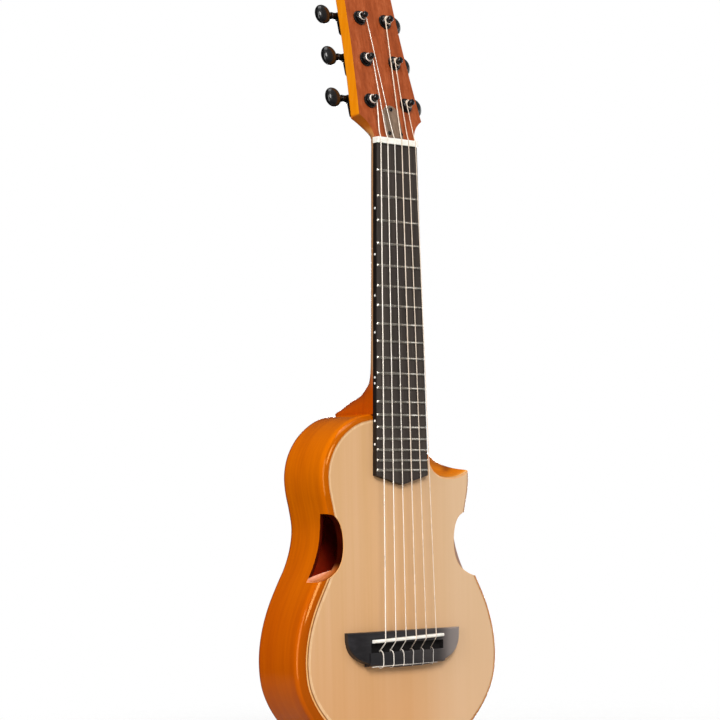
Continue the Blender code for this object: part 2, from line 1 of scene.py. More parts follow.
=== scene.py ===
"""Looks of the guitalele: camera, light, finer visible pieces and their wood, metal and nylon finishes.

Lengths in the tables are millimetres in the instrument's drawing frame (x to the treble side, y backwards
from the playing surface, z along the neck with 0 at the nut); V() turns them into the row frame in metres.
"""

import math

import bmesh
import bpy
from mathutils import Matrix, Vector


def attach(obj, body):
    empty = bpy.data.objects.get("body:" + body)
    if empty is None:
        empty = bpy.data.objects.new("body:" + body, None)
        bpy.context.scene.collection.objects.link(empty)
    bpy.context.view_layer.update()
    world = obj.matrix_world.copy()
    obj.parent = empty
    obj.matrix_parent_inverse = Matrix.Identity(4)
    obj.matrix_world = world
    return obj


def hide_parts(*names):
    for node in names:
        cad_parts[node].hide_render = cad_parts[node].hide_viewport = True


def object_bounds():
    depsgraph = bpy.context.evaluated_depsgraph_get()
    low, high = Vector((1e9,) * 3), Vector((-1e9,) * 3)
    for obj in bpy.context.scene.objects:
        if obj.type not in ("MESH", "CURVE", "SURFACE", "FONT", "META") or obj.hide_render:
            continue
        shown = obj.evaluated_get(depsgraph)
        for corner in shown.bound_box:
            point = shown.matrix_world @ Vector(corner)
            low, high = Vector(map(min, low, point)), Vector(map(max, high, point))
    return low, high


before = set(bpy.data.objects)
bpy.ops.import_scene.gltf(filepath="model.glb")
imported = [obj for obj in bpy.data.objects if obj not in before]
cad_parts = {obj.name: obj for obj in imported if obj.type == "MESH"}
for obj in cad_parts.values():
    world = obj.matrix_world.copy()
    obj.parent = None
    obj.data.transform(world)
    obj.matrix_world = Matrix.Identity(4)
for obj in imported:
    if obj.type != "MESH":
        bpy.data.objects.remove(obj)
cad_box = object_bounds()

MM = 0.001
HANG_Y, HANG_Z = 10.0, 14.0

SCALE = 433.0
FRET_COUNT = 19
NUT_HALF, BOARD_HALF = 24.0, 30.6
BOARD_END, BOARD_TIP = -293.2, -301.5
TOP_Y, TOP_THICK = 5.3, 2.5
BODY_DEPTH, BACK_THICK, SIDE_THICK = 55.0, 2.7, 3.0
EDGE_R, EDGE_NARROW, EDGE_TREBLE, LINES_TREBLE = 8.0, 5.2, 0.46, 0.3
CUT_EASE = 1.38
LINING_W, EDGE_DEPTH, PORT_FLOOR = 12.0, 8.0, 20.7
HEAD_TILT = math.radians(14.0)
HEAD_THICK, HEAD_LEN = 12.5, 150.0
HEAD_Y, HEAD_Z = 3.0, 5.5
POST_U = (34.5, 75.0, 115.5)
POST_X = (21.3, 17.0, 15.2)
POST_R = 3.0
WORM_U, WORM_N = 7.5, 17.25
STRING_D = (0.72, 0.82, 1.03, 0.76, 0.90, 1.10)
NUT_SPAN, SADDLE_SPAN = 20.8, 30.0
SADDLE_Z, SADDLE_SLANT, SADDLE_HALF = -435.4, 0.03, 41.0
BRIDGE_HALF, BRIDGE_TOP_Z, BRIDGE_DROP = 65.8, -428.5, 31.5
BRIDGE_H, TIE_H = 7.8, 8.5
COLLAR_END, BUTTON_AT = 18.2, 27.2
COVER_SCREWS = ((0.0, 27.6), (-6.9, 4.4), (6.9, 4.4))

OUTLINE = (
    (0, -238), (18, -238), (33, -239.6), (47.5, -243), (60, -249.5),
    (70.5, -258), (78.5, -268), (84, -279.5), (86.5, -293), (85.3, -307),
    (81.7, -322), (79, -338), (81, -354), (87.2, -371), (97, -388),
    (106, -405), (112.8, -423), (116.6, -441), (117.2, -458),
    (114.5, -475), (108, -489.5), (99.5, -501.5), (88, -513.5),
    (72, -526), (52, -535.5), (28, -541.2), (0, -543),
)
CUT_FRONT = (
    (26.5, -230), (28, -250), (31, -265), (36, -279.5), (41, -288),
    (48, -293.2), (58, -295.4), (69, -294.8), (79, -292), (86, -288.2), (93, -283),
)
CUT_BACK = (
    (26.0, -229), (38, -236.5), (50, -242), (62, -249), (72.5, -257),
    (81, -266), (86, -273), (93, -284),
)
PORT = (
    (110, -325.4), (90, -325.6), (78, -326.6), (71.5, -331), (67.6, -338.5),
    (65.8, -348), (65.8, -357.5), (67.6, -366), (71.6, -373), (78.5, -378.8),
    (87, -382.6), (97, -384.6), (120, -386),
)
NECK = (
    (5.45, -1.5, 9.8, 2.3), (-4, -6.0, 11.4, 2.0), (-14, -15, 12.2, 1.95), (-80, -80, 12.4, 1.95),
    (-150, -150, 13.0, 1.95), (-185, -185, 13.8, 1.95), (-200, -200, 14.8, 1.95), (-209, -209, 17.2, 2.0),
    (-213, -213, 20.6, 2.0), (-216, -216, 24.6, 2.1), (-219.5, -219.5, 30.2, 2.1), (-222.4, -222.4, 36.2, 2.1),
    (-225, -225, 44.8, 2.1), (-227.5, -227.5, 53.3, 2.2), (-230, -230, 54.8, 2.7),
    (-234, -234, 54.9, 4.8), (-237.7, -237.7, 54.9, 14.0),
)
HEAD = (
    (3.5, 24.3, 2.8), (6.0, 25.0, 3.4), (9.5, 26.4, 5.0), (13.5, 29.0, 9.0), (17.5, 33.0, 16.0),
    (20.6, 37.2, 26.0), (32.0, 35.9, 26.0), (46.0, 34.5, 26.0), (68.0, 32.6, 26.0), (88.0, 31.0, 26.0),
    (106.0, 30.0, 26.0), (126.0, 29.0, 26.0), (143.0, 28.4, 26.0), (146.6, 26.0, 26.0),
    (148.6, 18.0, 26.0), (149.7, 9.0, 26.0), (HEAD_LEN, 2.0, 26.0),
)


def V(x, y, z):
    return Vector((x * MM, (y - HANG_Y) * MM, (z - HANG_Z) * MM))


def fret_z(n):
    return -SCALE * (1.0 - 2.0 ** (-n / 12.0))


def board_half(z):
    return NUT_HALF + (BOARD_HALF - NUT_HALF) * z / BOARD_END


def head_plane(n, u):
    s, c = math.sin(HEAD_TILT), math.cos(HEAD_TILT)
    return HEAD_Y + n * c + u * s, HEAD_Z - n * s + u * c


def head_point(x, n, u):
    return V(x, *head_plane(n, u))


# ---- camera -------------------------------------------------------------
def build_camera():
    forward = Vector((0.657, 0.751, 0.0662)).normalized()
    right = Vector((0.7532, -0.6576, -0.016)).normalized()
    up = right.cross(forward).normalized()
    right = forward.cross(up).normalized()
    data = bpy.data.cameras.new("camera")
    data.lens, data.sensor_width = 114.08, 36.0
    data.clip_start, data.clip_end = 0.05, 60.0
    camera = bpy.data.objects.new("camera", data)
    bpy.context.scene.collection.objects.link(camera)
    turn = Matrix((right, up, -forward)).transposed().to_4x4()
    turn.translation = V(-1350.3, -1488.9, -324.2)
    camera.matrix_world = turn
    bpy.context.scene.camera = camera


build_camera()


# ---- curves -------------------------------------------------------------
def spline(points, count):
    """count points at even steps along a centripetal Catmull-Rom curve."""
    p = [Vector((a, b, 0)) for a, b in points]
    p = [2 * p[0] - p[1]] + p + [2 * p[-1] - p[-2]]
    fine = []
    for i in range(1, len(p) - 2):
        k = [0.0]
        for j in range(3):
            k.append(k[-1] + max((p[i + j] - p[i + j - 1]).length, 1e-6) ** 0.5)
        for s in range(24):
            t = k[1] + (k[2] - k[1]) * s / 24
            a1 = ((k[1] - t) * p[i - 1] + (t - k[0]) * p[i]) / (k[1] - k[0])
            a2 = ((k[2] - t) * p[i] + (t - k[1]) * p[i + 1]) / (k[2] - k[1])
            a3 = ((k[3] - t) * p[i + 1] + (t - k[2]) * p[i + 2]) / (k[3] - k[2])
            b1 = ((k[2] - t) * a1 + (t - k[0]) * a2) / (k[2] - k[0])
            b2 = ((k[3] - t) * a2 + (t - k[1]) * a3) / (k[3] - k[1])
            fine.append(((k[2] - t) * b1 + (t - k[1]) * b2) / (k[2] - k[1]))
    fine.append(p[-2])
    run = [0.0]
    for a, b in zip(fine, fine[1:]):
        run.append(run[-1] + (b - a).length)
    out, j = [], 0
    for i in range(count):
        want = run[-1] * i / (count - 1)
        while j < len(run) - 2 and run[j + 1] < want:
            j += 1
        f = (want - run[j]) / max(run[j + 1] - run[j], 1e-9)
        q = fine[j].lerp(fine[j + 1], min(max(f, 0.0), 1.0))
        out.append((q.x, q.y))
    return out


def slopes(xs, ys):
    """Slopes of a monotone cubic through the points."""
    h = [b - a for a, b in zip(xs, xs[1:])]
    d = [(b - a) / s for a, b, s in zip(ys, ys[1:], h)]
    m = [d[0]]
    for i in range(1, len(d)):
        if d[i - 1] * d[i] <= 0:
            m.append(0.0)
        else:
            w1, w2 = 2 * h[i] + h[i - 1], h[i] + 2 * h[i - 1]
            m.append((w1 + w2) / (w1 / d[i - 1] + w2 / d[i]))
    return m + [d[-1]]


def curve_at(xs, ys, m, x):
    i = 0
    while i < len(xs) - 2 and x > xs[i + 1]:
        i += 1
    h = xs[i + 1] - xs[i]
    t = (x - xs[i]) / h
    return ((1 + 2 * t) * (1 - t) ** 2 * ys[i] + t * (1 - t) ** 2 * h * m[i]
            + t * t * (3 - 2 * t) * ys[i + 1] + t * t * (t - 1) * h * m[i + 1])


def denser(rows, steps):
    """Rows of numbers, the first one rising, with steps cubic rows put into each interval."""
    xs = [r[0] for r in rows]
    columns = [[r[k] for r in rows] for k in range(1, len(rows[0]))]
    grads = [slopes(xs, c) for c in columns]
    out = []
    for a, b in zip(xs, xs[1:]):
        for s in range(steps):
            x = a + (b - a) * s / steps
            out.append((x, *[curve_at(xs, c, g, x) for c, g in zip(columns, grads)]))
    out.append(tuple(rows[-1]))
    return out


def body_loop(half_count):
    half = spline(OUTLINE, half_count)
    return half[::-1] + [(-x, z) for x, z in half[1:-1]]


def inset(loop, d):
    out, n = [], len(loop)
    for i in range(n):
        a, b = Vector(loop[i - 1]), Vector(loop[(i + 1) % n])
        t = (b - a).normalized()
        out.append((loop[i][0] - t.y * d, loop[i][1] + t.x * d))
    return out


def lower(z):
    """0 in the upper bout and 1 in the lower one, changing over across the waist."""
    t = min(max((-322.0 - z) / 66.0, 0.0), 1.0)
    return t * t * (3 - 2 * t)


def share(x, treble):
    """1 on the bass side and the given share on the treble side, changing over across the middle."""
    t = min(max((x + 40.0) / 100.0, 0.0), 1.0)
    return 1.0 - (1.0 - treble) * t * t * (3 - 2 * t)


def edge_loop(loop, f=1.0, extra=None):
    """The outline moved in by f times the rounded edge's width, and by extra(z) more, both less on the treble side."""
    full = inset(loop, 1.0)
    out = []
    for (x, z), (xi, zi) in zip(loop, full):
        d = f * share(x, EDGE_TREBLE) * (EDGE_NARROW + (EDGE_R - EDGE_NARROW) * lower(z))
        if extra:
            d += extra(z) * share(x, LINES_TREBLE)
        out.append((x + (xi - x) * d, z + (zi - z) * d))
    return out


def shift_open(curve, d):
    out, n = [], len(curve)
    for i in range(n):
        a, b = Vector(curve[max(i - 1, 0)]), Vector(curve[min(i + 1, n - 1)])
        t = (b - a).normalized()
        out.append((curve[i][0] + t.y * d, curve[i][1] - t.x * d))
    return out


def circle(n, phase=0.0):
    return [(math.cos(2 * math.pi * i / n + phase), math.sin(2 * math.pi * i / n + phase)) for i in range(n)]


# ---- finishes -----------------------------------------------------------
def srgb(text):
    out = []
    for k in (0, 2, 4):
        c = int(text[k:k + 2], 16) / 255.0
        out.append(c / 12.92 if c <= 0.04045 else ((c + 0.055) / 1.055) ** 2.4)
    return (*out, 1.0)


class Finish:
    """A node material on the shader's own sockets, with helpers for its textures in object space."""

    def __init__(self, name, **sockets):
        self.material = bpy.data.materials.new(name)
        self.material.use_nodes = True
        self.tree = self.material.node_tree
        self.shader = self.tree.nodes["Principled BSDF"]
        for key, value in sockets.items():
            self.shader.inputs[key.replace("_", " ")].default_value = value
        self.object = self.add("ShaderNodeTexCoord").outputs["Object"]

    def add(self, kind, **props):
        node = self.tree.nodes.new(kind)
        for key, value in props.items():
            setattr(node, key, value)
        return node

    def put(self, socket, value):
        if isinstance(value, bpy.types.NodeSocket):
            self.tree.links.new(value, socket)
        elif value is not None:
            socket.default_value = value

    def mapped(self, scale, turn=(0, 0, 0), shift=(0, 0, 0)):
        node = self.add("ShaderNodeMapping")
        self.put(node.inputs["Vector"], self.object)
        node.inputs["Scale"].default_value = scale
        node.inputs["Rotation"].default_value = turn
        node.inputs["Location"].default_value = shift
        return node.outputs["Vector"]

    def noise(self, vector, scale=1.0, detail=3.0, roughness=0.55, distortion=0.0):
        node = self.add("ShaderNodeTexNoise")
        self.put(node.inputs["Vector"], vector)
        for key, value in (("Scale", scale), ("Detail", detail), ("Roughness", roughness), ("Distortion", distortion)):
            node.inputs[key].default_value = value
        return node.outputs["Fac"]

    def wave(self, vector, scale=1.0, distortion=0.0, direction="X", profile="SIN", detail=2.0, detail_scale=1.0):
        node = self.add("ShaderNodeTexWave", wave_type="BANDS", bands_direction=direction, wave_profile=profile)
        self.put(node.inputs["Vector"], vector)
        for key, value in (("Scale", scale), ("Distortion", distortion), ("Detail", detail), ("Detail Scale", detail_scale)):
            node.inputs[key].default_value = value
        return node.outputs["Fac"]

    def cells(self, vector, scale=1.0):
        node = self.add("ShaderNodeTexVoronoi")
        self.put(node.inputs["Vector"], vector)
        node.inputs["Scale"].default_value = scale
        return node.outputs["Distance"]

    def height(self, axis="Z"):
        node = self.add("ShaderNodeSeparateXYZ")
        self.put(node.inputs["Vector"], self.object)
        return node.outputs[axis]

    def span(self, value, low, high, to_low=0.0, to_high=1.0, smooth=False):
        node = self.add("ShaderNodeMapRange", clamp=True, interpolation_type="SMOOTHSTEP" if smooth else "LINEAR")
        self.put(node.inputs["Value"], value)
        for key, number in (("From Min", low), ("From Max", high), ("To Min", to_low), ("To Max", to_high)):
            node.inputs[key].default_value = number
        return node.outputs["Result"]

    def ramp(self, fac, stops):
        node = self.add("ShaderNodeValToRGB")
        self.put(node.inputs["Fac"], fac)
        ramp = node.color_ramp
        while len(ramp.elements) < len(stops):
            ramp.elements.new(0.5)
        for element, (place, colour) in zip(ramp.elements, stops):
            element.position = place
            element.color = srgb(colour) if isinstance(colour, str) else (colour, colour, colour, 1.0)
        return node.outputs["Color"]

    def mix(self, fac, a, b, mode="MIX"):
        node = self.add("ShaderNodeMix", data_type="RGBA", blend_type=mode)
        self.put(node.inputs[0], fac)
        self.put(node.inputs[6], srgb(a) if isinstance(a, str) else a)
        self.put(node.inputs[7], srgb(b) if isinstance(b, str) else b)
        return node.outputs[2]

    def maths(self, operation, a, b):
        node = self.add("ShaderNodeMath", operation=operation)
        self.put(node.inputs[0], a)
        self.put(node.inputs[1], b)
        return node.outputs[0]

    def colour(self, socket):
        self.put(self.shader.inputs["Base Color"], socket)

    def rough(self, fac, low, high):
        self.put(self.shader.inputs["Roughness"], self.span(fac, 0.25, 0.75, low, high))

    def bump(self, height, distance, strength=1.0):
        node = self.add("ShaderNodeBump")
        node.inputs["Strength"].default_value = strength
        node.inputs["Distance"].default_value = distance
        self.put(node.inputs["Height"], height)
        self.put(self.shader.inputs["Normal"], node.outputs["Normal"])


def wood(name, dark, mid, light, grain, lines=(150.0, 150.0, 4.0), fine=(900.0, 900.0, 12.0), pores=0.25,
         gloss=(0.25, 0.4), coat=0.0, coat_rough=0.08, bump=0.00003, tint=None, level=0.5, sheen=None):
    """Wood with broad streaks, fine grain and short pores. grain holds the broad streaks' scale per axis."""
    f = Finish(name, Coat_Weight=coat, Coat_Roughness=coat_rough, Specular_IOR_Level=level)
    if sheen:
        f.shader.inputs["Specular Tint"].default_value = srgb(sheen)
    broad = f.noise(f.mapped(grain), 1.0, 4.0, 0.6, 0.35)
    streak = f.noise(f.mapped(lines), 1.0, 3.0, 0.6, 0.2)
    hair = f.noise(f.mapped(fine), 1.0, 2.0, 0.5)
    base = f.ramp(f.maths("ADD", f.maths("MULTIPLY", broad, 0.6), f.maths("MULTIPLY", streak, 0.4)),
                  ((0.36, dark), (0.5, mid), (0.64, light)))
    base = f.mix(f.span(hair, 0.35, 0.62, pores, 0.0), base, dark)
    if tint:
        base = tint(f, base)
    f.colour(base)
    f.rough(streak, *gloss)
    f.bump(f.maths("ADD", hair, f.maths("MULTIPLY", streak, 0.5)), bump)
    return f


def build_finishes():
    made = {}

    # soundboard: straight quarter-sawn grain, a little darker and more orange towards the tail, and paler towards the
    # treble side, a painted sheen
    def tail_tone_and_painted_sheen(f, base):
        lower_part = f.span(f.height("Z"), -0.36, -0.557, 0.0, 0.5, True)
        base = f.mix(lower_part, base, "D29256")
        # paler towards the treble side: a painted sheen
        base = f.mix(f.span(f.height("X"), 0.0, 0.075, 0.0, 0.5, True), base, "E6C8A6")
        rings = f.wave(f.mapped((1.0, 0.0, 0.02)), 300.0, 1.2, "X", "SIN", 2.0, 0.6)
        return f.mix(f.span(rings, 0.7, 1.0, 0.0, 0.09), base, "C08A55")

    made["spruce"] = wood("spruce_lacquer", "D6A875", "DAAD7E", "DEB388", (45, 45, 1.2), (200, 200, 2.6), (1100, 1100, 10),
                          0.08, (0.38, 0.46), 0.1, 0.15, 0.000012, tail_tone_and_painted_sheen, 0.3)
    made["end_grain"] = wood("spruce_cut_edge", "D89A5C", "E8B47C", "F4CC98", (60, 500, 60), (200, 1500, 200), (900, 2500, 900),
                             0.2, (0.4, 0.5), 0.2, 0.15, 0.00002)

    # sides and rounded edge: clear amber stain under gloss, grain running along the bent strips, darker and redder
    # towards the tail; the rounded edge's front band is painted darker, a painted shade beside its highlight
    def amber_tone_and_edge_shade(f, base):
        waist = f.noise(f.mapped((9.0, 4.0, 9.0)), 1.0, 2.0, 0.5)
        base = f.mix(f.span(waist, 0.35, 0.7, 0.0, 0.25), base, "B04A00")
        base = f.mix(f.span(f.height("Z"), -0.33, -0.44, 0.0, 0.34, True), base, "9C2400")
        # the rounded edge's front band painted darker: a painted shade
        return f.mix(f.span(f.height("Y"), -0.0026, -0.0012, 0.55, 0.0, True), base, "904200")

    made["amber"] = wood("amber_gloss", "BE5A00", "CC6400", "DA7000", (5, 30, 5), (14, 300, 14), (60, 1400, 60),
                         0.08, (0.09, 0.13), 0.0, 0.04, 0.000004, amber_tone_and_edge_shade, 0.42, "FFC878")

    def scoop_painted_light_and_tone(f, base):
        # the wall is painted lighter towards its front rim, a painted highlight, and darker towards its far edge, a
        # painted shade
        base = f.mix(f.span(f.height("Y"), -0.0026, 0.0022, 0.9, 0.0, True), base, "F4B86A")
        base = f.mix(f.span(f.height("Y"), 0.0, 0.010, 0.35, 0.0, True), base, "F8A838")
        base = f.mix(f.span(f.height("Y"), 0.012, 0.028, 0.0, 0.5, True), base, "8A4208")
        # a painted shade: a darker streak crosses the wall from its far edge and fades towards the front
        across = f.maths("SUBTRACT", f.maths("MULTIPLY", f.height("X"), 0.71), f.maths("MULTIPLY", f.height("Y"), 0.69))
        streak = f.maths("MULTIPLY", f.span(across, 0.037, 0.0435, 0.0, 1.0, True), f.span(across, 0.0435, 0.051, 1.0, 0.0, True))
        base = f.mix(f.maths("MULTIPLY", streak, f.span(f.height("Y"), 0.006, 0.017, 0.0, 0.75, True)), base, "903F00")
        return f.mix(f.span(f.noise(f.mapped((30, 30, 30))), 0.4, 0.7, 0.0, 0.3), base, "B85200")

    made["scoop"] = wood("scoop_gloss", "D46C00", "E67C00", "F49010", (5, 30, 5), (14, 300, 14), (60, 1400, 60),
                         0.08, (0.18, 0.24), 0.0, 0.035, 0.000006, scoop_painted_light_and_tone, 0.3, "FF9C38")

    # the inner line is pale on the bass side; on the treble side it is painted brown, a painted shade of that edge
    def treble_line_shade(f, base):
        amount = f.maths("MULTIPLY", f.span(f.height("X"), 0.03, 0.06, 0.0, 1.0, True), f.span(f.height("Z"), -0.36, -0.40, 0.9, 0.3, True))
        return f.mix(amount, base, "96745A")

    made["line_pale"] = wood("purfling_maple", "DDAE7A", "E8BE8E", "F0CCA0", (200, 200, 60), (700, 700, 200), (2000, 2000, 300),
                             0.1, (0.3, 0.36), 0.3, 0.1, 0.000008, treble_line_shade)
    made["line_orange"] = wood("purfling_outer", "DE9A50", "EBAE66", "F2BE7C", (200, 200, 60), (700, 700, 200), (2000, 2000, 300),
                               0.1, (0.3, 0.36), 0.3, 0.1, 0.000008)
    made["line_brown"] = wood("purfling_brown", "82481C", "9A5C2A", "AE6E36", (200, 200, 60), (700, 700, 200), (2000, 2000, 300),
                              0.2, (0.3, 0.36), 0.3, 0.1, 0.000008)
    made["inside"] = wood("inside_wood", "A01A02", "B82604", "CC3A14", (20, 200, 20), (60, 700, 60), (200, 2000, 200),
                          0.3, (0.5, 0.65), 0.0, 0.1, 0.00004, None, 0.2)

    # port walls: dark, a painted shade of the port's inside, lighter on the treble side as painted light; on the ledge
    # below they turn to the sides' amber with a painted highlight towards its back edge and a painted shade at its
    # front edge
    def port_wall_painted_light(f, base):
        base = f.mix(f.span(f.height("X"), 0.03, 0.06, 0.0, 0.8, True), base, "7A5648")
        # the ledge: a painted highlight towards its back edge and a painted shade at its front edge
        ledge_painted_light = f.mix(f.span(f.height("Y"), -0.0045, 0.009, 0.0, 1.0, True), "B0540E", "DE8A58")
        ledge_painted_light = f.mix(f.span(f.height("Y"), -0.0046, -0.0024, 1.0, 0.0, True), ledge_painted_light, "5A1E02")
        return f.mix(f.span(f.height("Z"), -0.382, -0.391, 0.0, 1.0, True), base, ledge_painted_light)

    made["port_wall"] = wood("port_wall", "240300", "340600", "480C02", (40, 90, 40), (90, 500, 90), (300, 1500, 300),
                             0.2, (0.3, 0.42), 0.0, 0.1, 0.00002, port_wall_painted_light, 0.35, "FFB080")

    # the rim's cut faces at the ports: dark, a painted shade of the port's inside, lighter on the treble side as
    # painted light, and pale peach at the ledge, a painted highlight
    def port_edge_painted_light(f, base):
        base = f.mix(f.span(f.height("X"), 0.03, 0.06, 0.0, 0.9, True), base, "B29282")
        return f.mix(f.span(f.height("Z"), -0.3935, -0.3965, 0.0, 1.0, True), base, "E0A070")

    made["port_dark"] = wood("port_edge_dark", "300400", "420800", "560E00", (40, 90, 40), (90, 500, 90), (300, 1500, 300),
                             0.2, (0.5, 0.6), 0.0, 0.1, 0.00002, port_edge_painted_light, 0.06)
    # the ledge turns pale peach towards its back edge: a painted highlight
    made["lip"] = wood("port_ledge", "A4500E", "B8621E", "CC7A3C", (40, 90, 40), (90, 500, 90), (300, 1500, 300),
                       0.15, (0.22, 0.3), 0.0, 0.1, 0.00001,
                       lambda f, base: f.mix(f.span(f.height("Y"), 0.003, 0.0107, 0.15, 0.95, True), base, "DC9274"), 0.3)
    made["raw_wood"] = wood("raw_blocks", "8A5A34", "A06C40", "B8824E", (120, 120, 6), (400, 400, 14), (1200, 1200, 40),
                            0.3, (0.6, 0.75), 0.0, 0.1, 0.00004)
    made["back"] = wood("back_gloss", "8E3A0C", "A4480E", "B85A18", (55, 55, 2.2), (240, 240, 7), (1300, 1300, 26),
                        0.35, (0.16, 0.22), 0.3, 0.04, 0.00001, None, 0.5, "FFC080")

    # neck: amber at the heel like the sides, brown satin along the shaft, orange on the head's edges
    def neck_tint(f, base):
        z = f.height("Z")
        heel = f.span(z, -0.205, -0.235, 0.0, 1.0, True)
        head = f.span(z, -0.016, 0.012, 0.0, 1.0, True)
        base = f.mix(heel, base, f.mix(f.noise(f.mapped((200, 200, 10))), "A83E00", "C25400"))
        base = f.mix(head, base, f.mix(f.noise(f.mapped((260, 260, 12))), "E07800", "F59A12"))
        x = f.height("X")
        # darker along the sides where the shaft runs into the head: a painted shade in that hollow
        hollow = f.maths("MULTIPLY", f.span(z, -0.004, 0.002, 0.0, 1.0, True), f.span(z, 0.0125, 0.0095, 0.0, 0.75, True))
        hollow = f.maths("MULTIPLY", hollow, f.span(f.maths("MULTIPLY", x, x), 0.00042, 0.00058, 0.0, 1.0, True))
        return f.mix(hollow, base, "A64A0C")

    made["neck"] = wood("neck_mahogany", "A57248", "BA8A60", "CFA278", (90, 90, 3), (330, 330, 8), (1500, 1500, 30),
                        0.3, (0.2, 0.28), 0.0, 0.08, 0.000012, neck_tint, 0.5, "FFC890")
    made["head_face"] = wood("head_mahogany", "8A3E1C", "A04C26", "B45E36", (120, 120, 4.5), (420, 420, 10), (1500, 1500, 30),
                             0.4, (0.26, 0.34), 0.0, 0.08, 0.000012, None, 0.4, "FFC8A0")
    made["board"] = wood("board_rosewood", "332E2B", "403935", "4C4540", (160, 160, 6), (600, 600, 20), (1800, 1800, 60),
                         0.4, (0.5, 0.62), 0.0, 0.1, 0.00002, None, 0.12)
    made["board_edge"] = wood("board_side_dark", "120D0B", "1B1512", "27201C", (160, 160, 6), (600, 600, 20), (1800, 1800, 60),
                              0.4, (0.4, 0.5), 0.0, 0.1, 0.00002, None, 0.2)
    made["cover"] = wood("cover_rosewood", "63503F", "7B6553", "927B68", (150, 150, 6), (520, 520, 16), (1700, 1700, 50),
                         0.4, (0.32, 0.42), 0.2, 0.1, 0.00003)

    # the bridge turns greyer towards its treble end: a painted sheen
    def ebony_painted_sheen(f, base):
        base = f.mix(f.span(f.height("X"), -0.015, 0.03, 0.0, 0.12, True), base, "7C726E")
        return f.mix(f.span(f.height("X"), 0.034, 0.060, 0.0, 0.9, True), base, "8E837F")

    made["ebony"] = wood("bridge_ebony", "131114", "1C1A1D", "29272B", (6, 200, 120), (20, 700, 500), (60, 2000, 1600),
                         0.4, (0.30, 0.38), 0.0, 0.15, 0.000015, ebony_painted_sheen, 0.45)

    made["ebony_raw"] = wood("ebony_trough", "141213", "1C1A1A", "272424", (6, 200, 120), (20, 700, 500), (60, 2000, 1600),
                             0.5, (0.6, 0.75), 0.0, 0.15, 0.00003, None, 0.15)

    # bone: faint cream clouding and fine polishing lines
    f = Finish("bone_polished", Specular_IOR_Level=0.5, Coat_Weight=0.3, Coat_Roughness=0.1, Subsurface_Weight=0.08)
    cloud = f.noise(f.mapped((160, 160, 160)), 1.0, 4.0, 0.6)
    f.colour(f.ramp(cloud, ((0.35, "F4EEE2"), (0.6, "FCFAF3"), (0.75, "FFFFFC"))))
    f.rough(cloud, 0.26, 0.36)
    f.bump(f.noise(f.mapped((500, 3000, 3000)), 1.0, 2.0), 0.00001)
    f.shader.inputs["Subsurface Radius"].default_value = (0.002, 0.0014, 0.001)
    made["bone"] = f

    # nickel fret wire: crown polished along its length, a little worn dull in patches
    f = Finish("fret_nickel", Metallic=1.0)
    lines = f.noise(f.mapped((60, 4000, 4000)), 1.0, 2.0)
    worn = f.noise(f.mapped((180, 180, 40)), 1.0, 3.0)
    f.colour(f.ramp(worn, ((0.35, "A8A298"), (0.55, "C2BDB4"), (0.7, "D2CEC6"))))
    f.rough(lines, 0.18, 0.34)
    f.bump(lines, 0.000006)
    made["fret"] = f

    # black plated metal of the machine heads, with a faint orange-peel and haze
    f = Finish("black_plating", Metallic=0.0, Coat_Weight=0.4, Coat_Roughness=0.06, Specular_IOR_Level=0.25)
    haze = f.noise(f.mapped((420, 420, 420)), 1.0, 4.0, 0.65)
    f.colour(f.ramp(haze, ((0.3, "040405"), (0.6, "09090A"), (0.8, "161618"))))
    f.rough(haze, 0.2, 0.32)
    f.bump(f.noise(f.mapped((900, 900, 900)), 1.0, 2.0), 0.000002)
    made["black"] = f

    # moulded buttons: glossy black with faint handling marks
    f = Finish("black_button", Coat_Weight=0.5, Coat_Roughness=0.05, Specular_IOR_Level=0.25)
    haze = f.noise(f.mapped((300, 700, 300)), 1.0, 4.0, 0.6)
    f.colour(f.ramp(haze, ((0.3, "060607"), (0.7, "111113"))))
    f.rough(haze, 0.25, 0.4)
    f.bump(f.noise(f.mapped((500, 500, 500)), 1.0, 2.0), 0.000003)
    made["button"] = f

    # plain nylon: pale, a little translucent; painted darker in the bridge's trough, a painted shade, and greyer over
    # its block
    f = Finish("nylon_plain", Specular_IOR_Level=0.5, Coat_Weight=0.2, Coat_Roughness=0.12, Transmission_Weight=0.25)
    tone = f.noise(f.mapped((800, 800, 60)), 1.0, 3.0)
    base = f.ramp(tone, ((0.3, "EAD5BE"), (0.7, "F8E8D6")))
    trough, block = (SADDLE_Z - 1.5 - HANG_Z) * MM, (-444.5 - HANG_Z) * MM
    base = f.mix(f.span(f.height("Z"), trough, trough - 0.002, 0.0, 0.7, True), base, "5C5048")
    f.colour(f.mix(f.span(f.height("Z"), block, block - 0.002, 0.0, 0.85, True), base, "CCC6C0"))
    f.rough(tone, 0.22, 0.34)
    f.bump(tone, 0.000008)
    made["nylon"] = f

    # wound strings: a silvery wire in close turns round a floss core
    f = Finish("nylon_wound", Metallic=0.35, Coat_Weight=0.2)
    turns = f.wave(f.mapped((0.0, 0.05, 1.0)), 1100.0, 0.0, "Z", "SIN", 0.0)
    tone = f.noise(f.mapped((300, 300, 40)), 1.0, 3.0)
    f.colour(f.mix(f.span(turns, 0.0, 0.5, 0.35, 0.0), f.ramp(tone, ((0.3, "EADFD2"), (0.7, "FFF8EE"))), "B8A898"))
    f.rough(tone, 0.24, 0.36)
    f.bump(turns, 0.00004, 0.6)
    made["wound"] = f

    # position dots in the board's side
    f = Finish("dot_pearl", Coat_Weight=0.5, Coat_Roughness=0.06)
    swirl = f.noise(f.mapped((900, 900, 900)), 1.0, 3.0, 0.6, 1.0)
    f.colour(f.ramp(swirl, ((0.3, "E4E6E2"), (0.6, "FFFFFC"))))
    f.rough(swirl, 0.2, 0.3)
    f.bump(swirl, 0.00001)
    made["dot"] = f

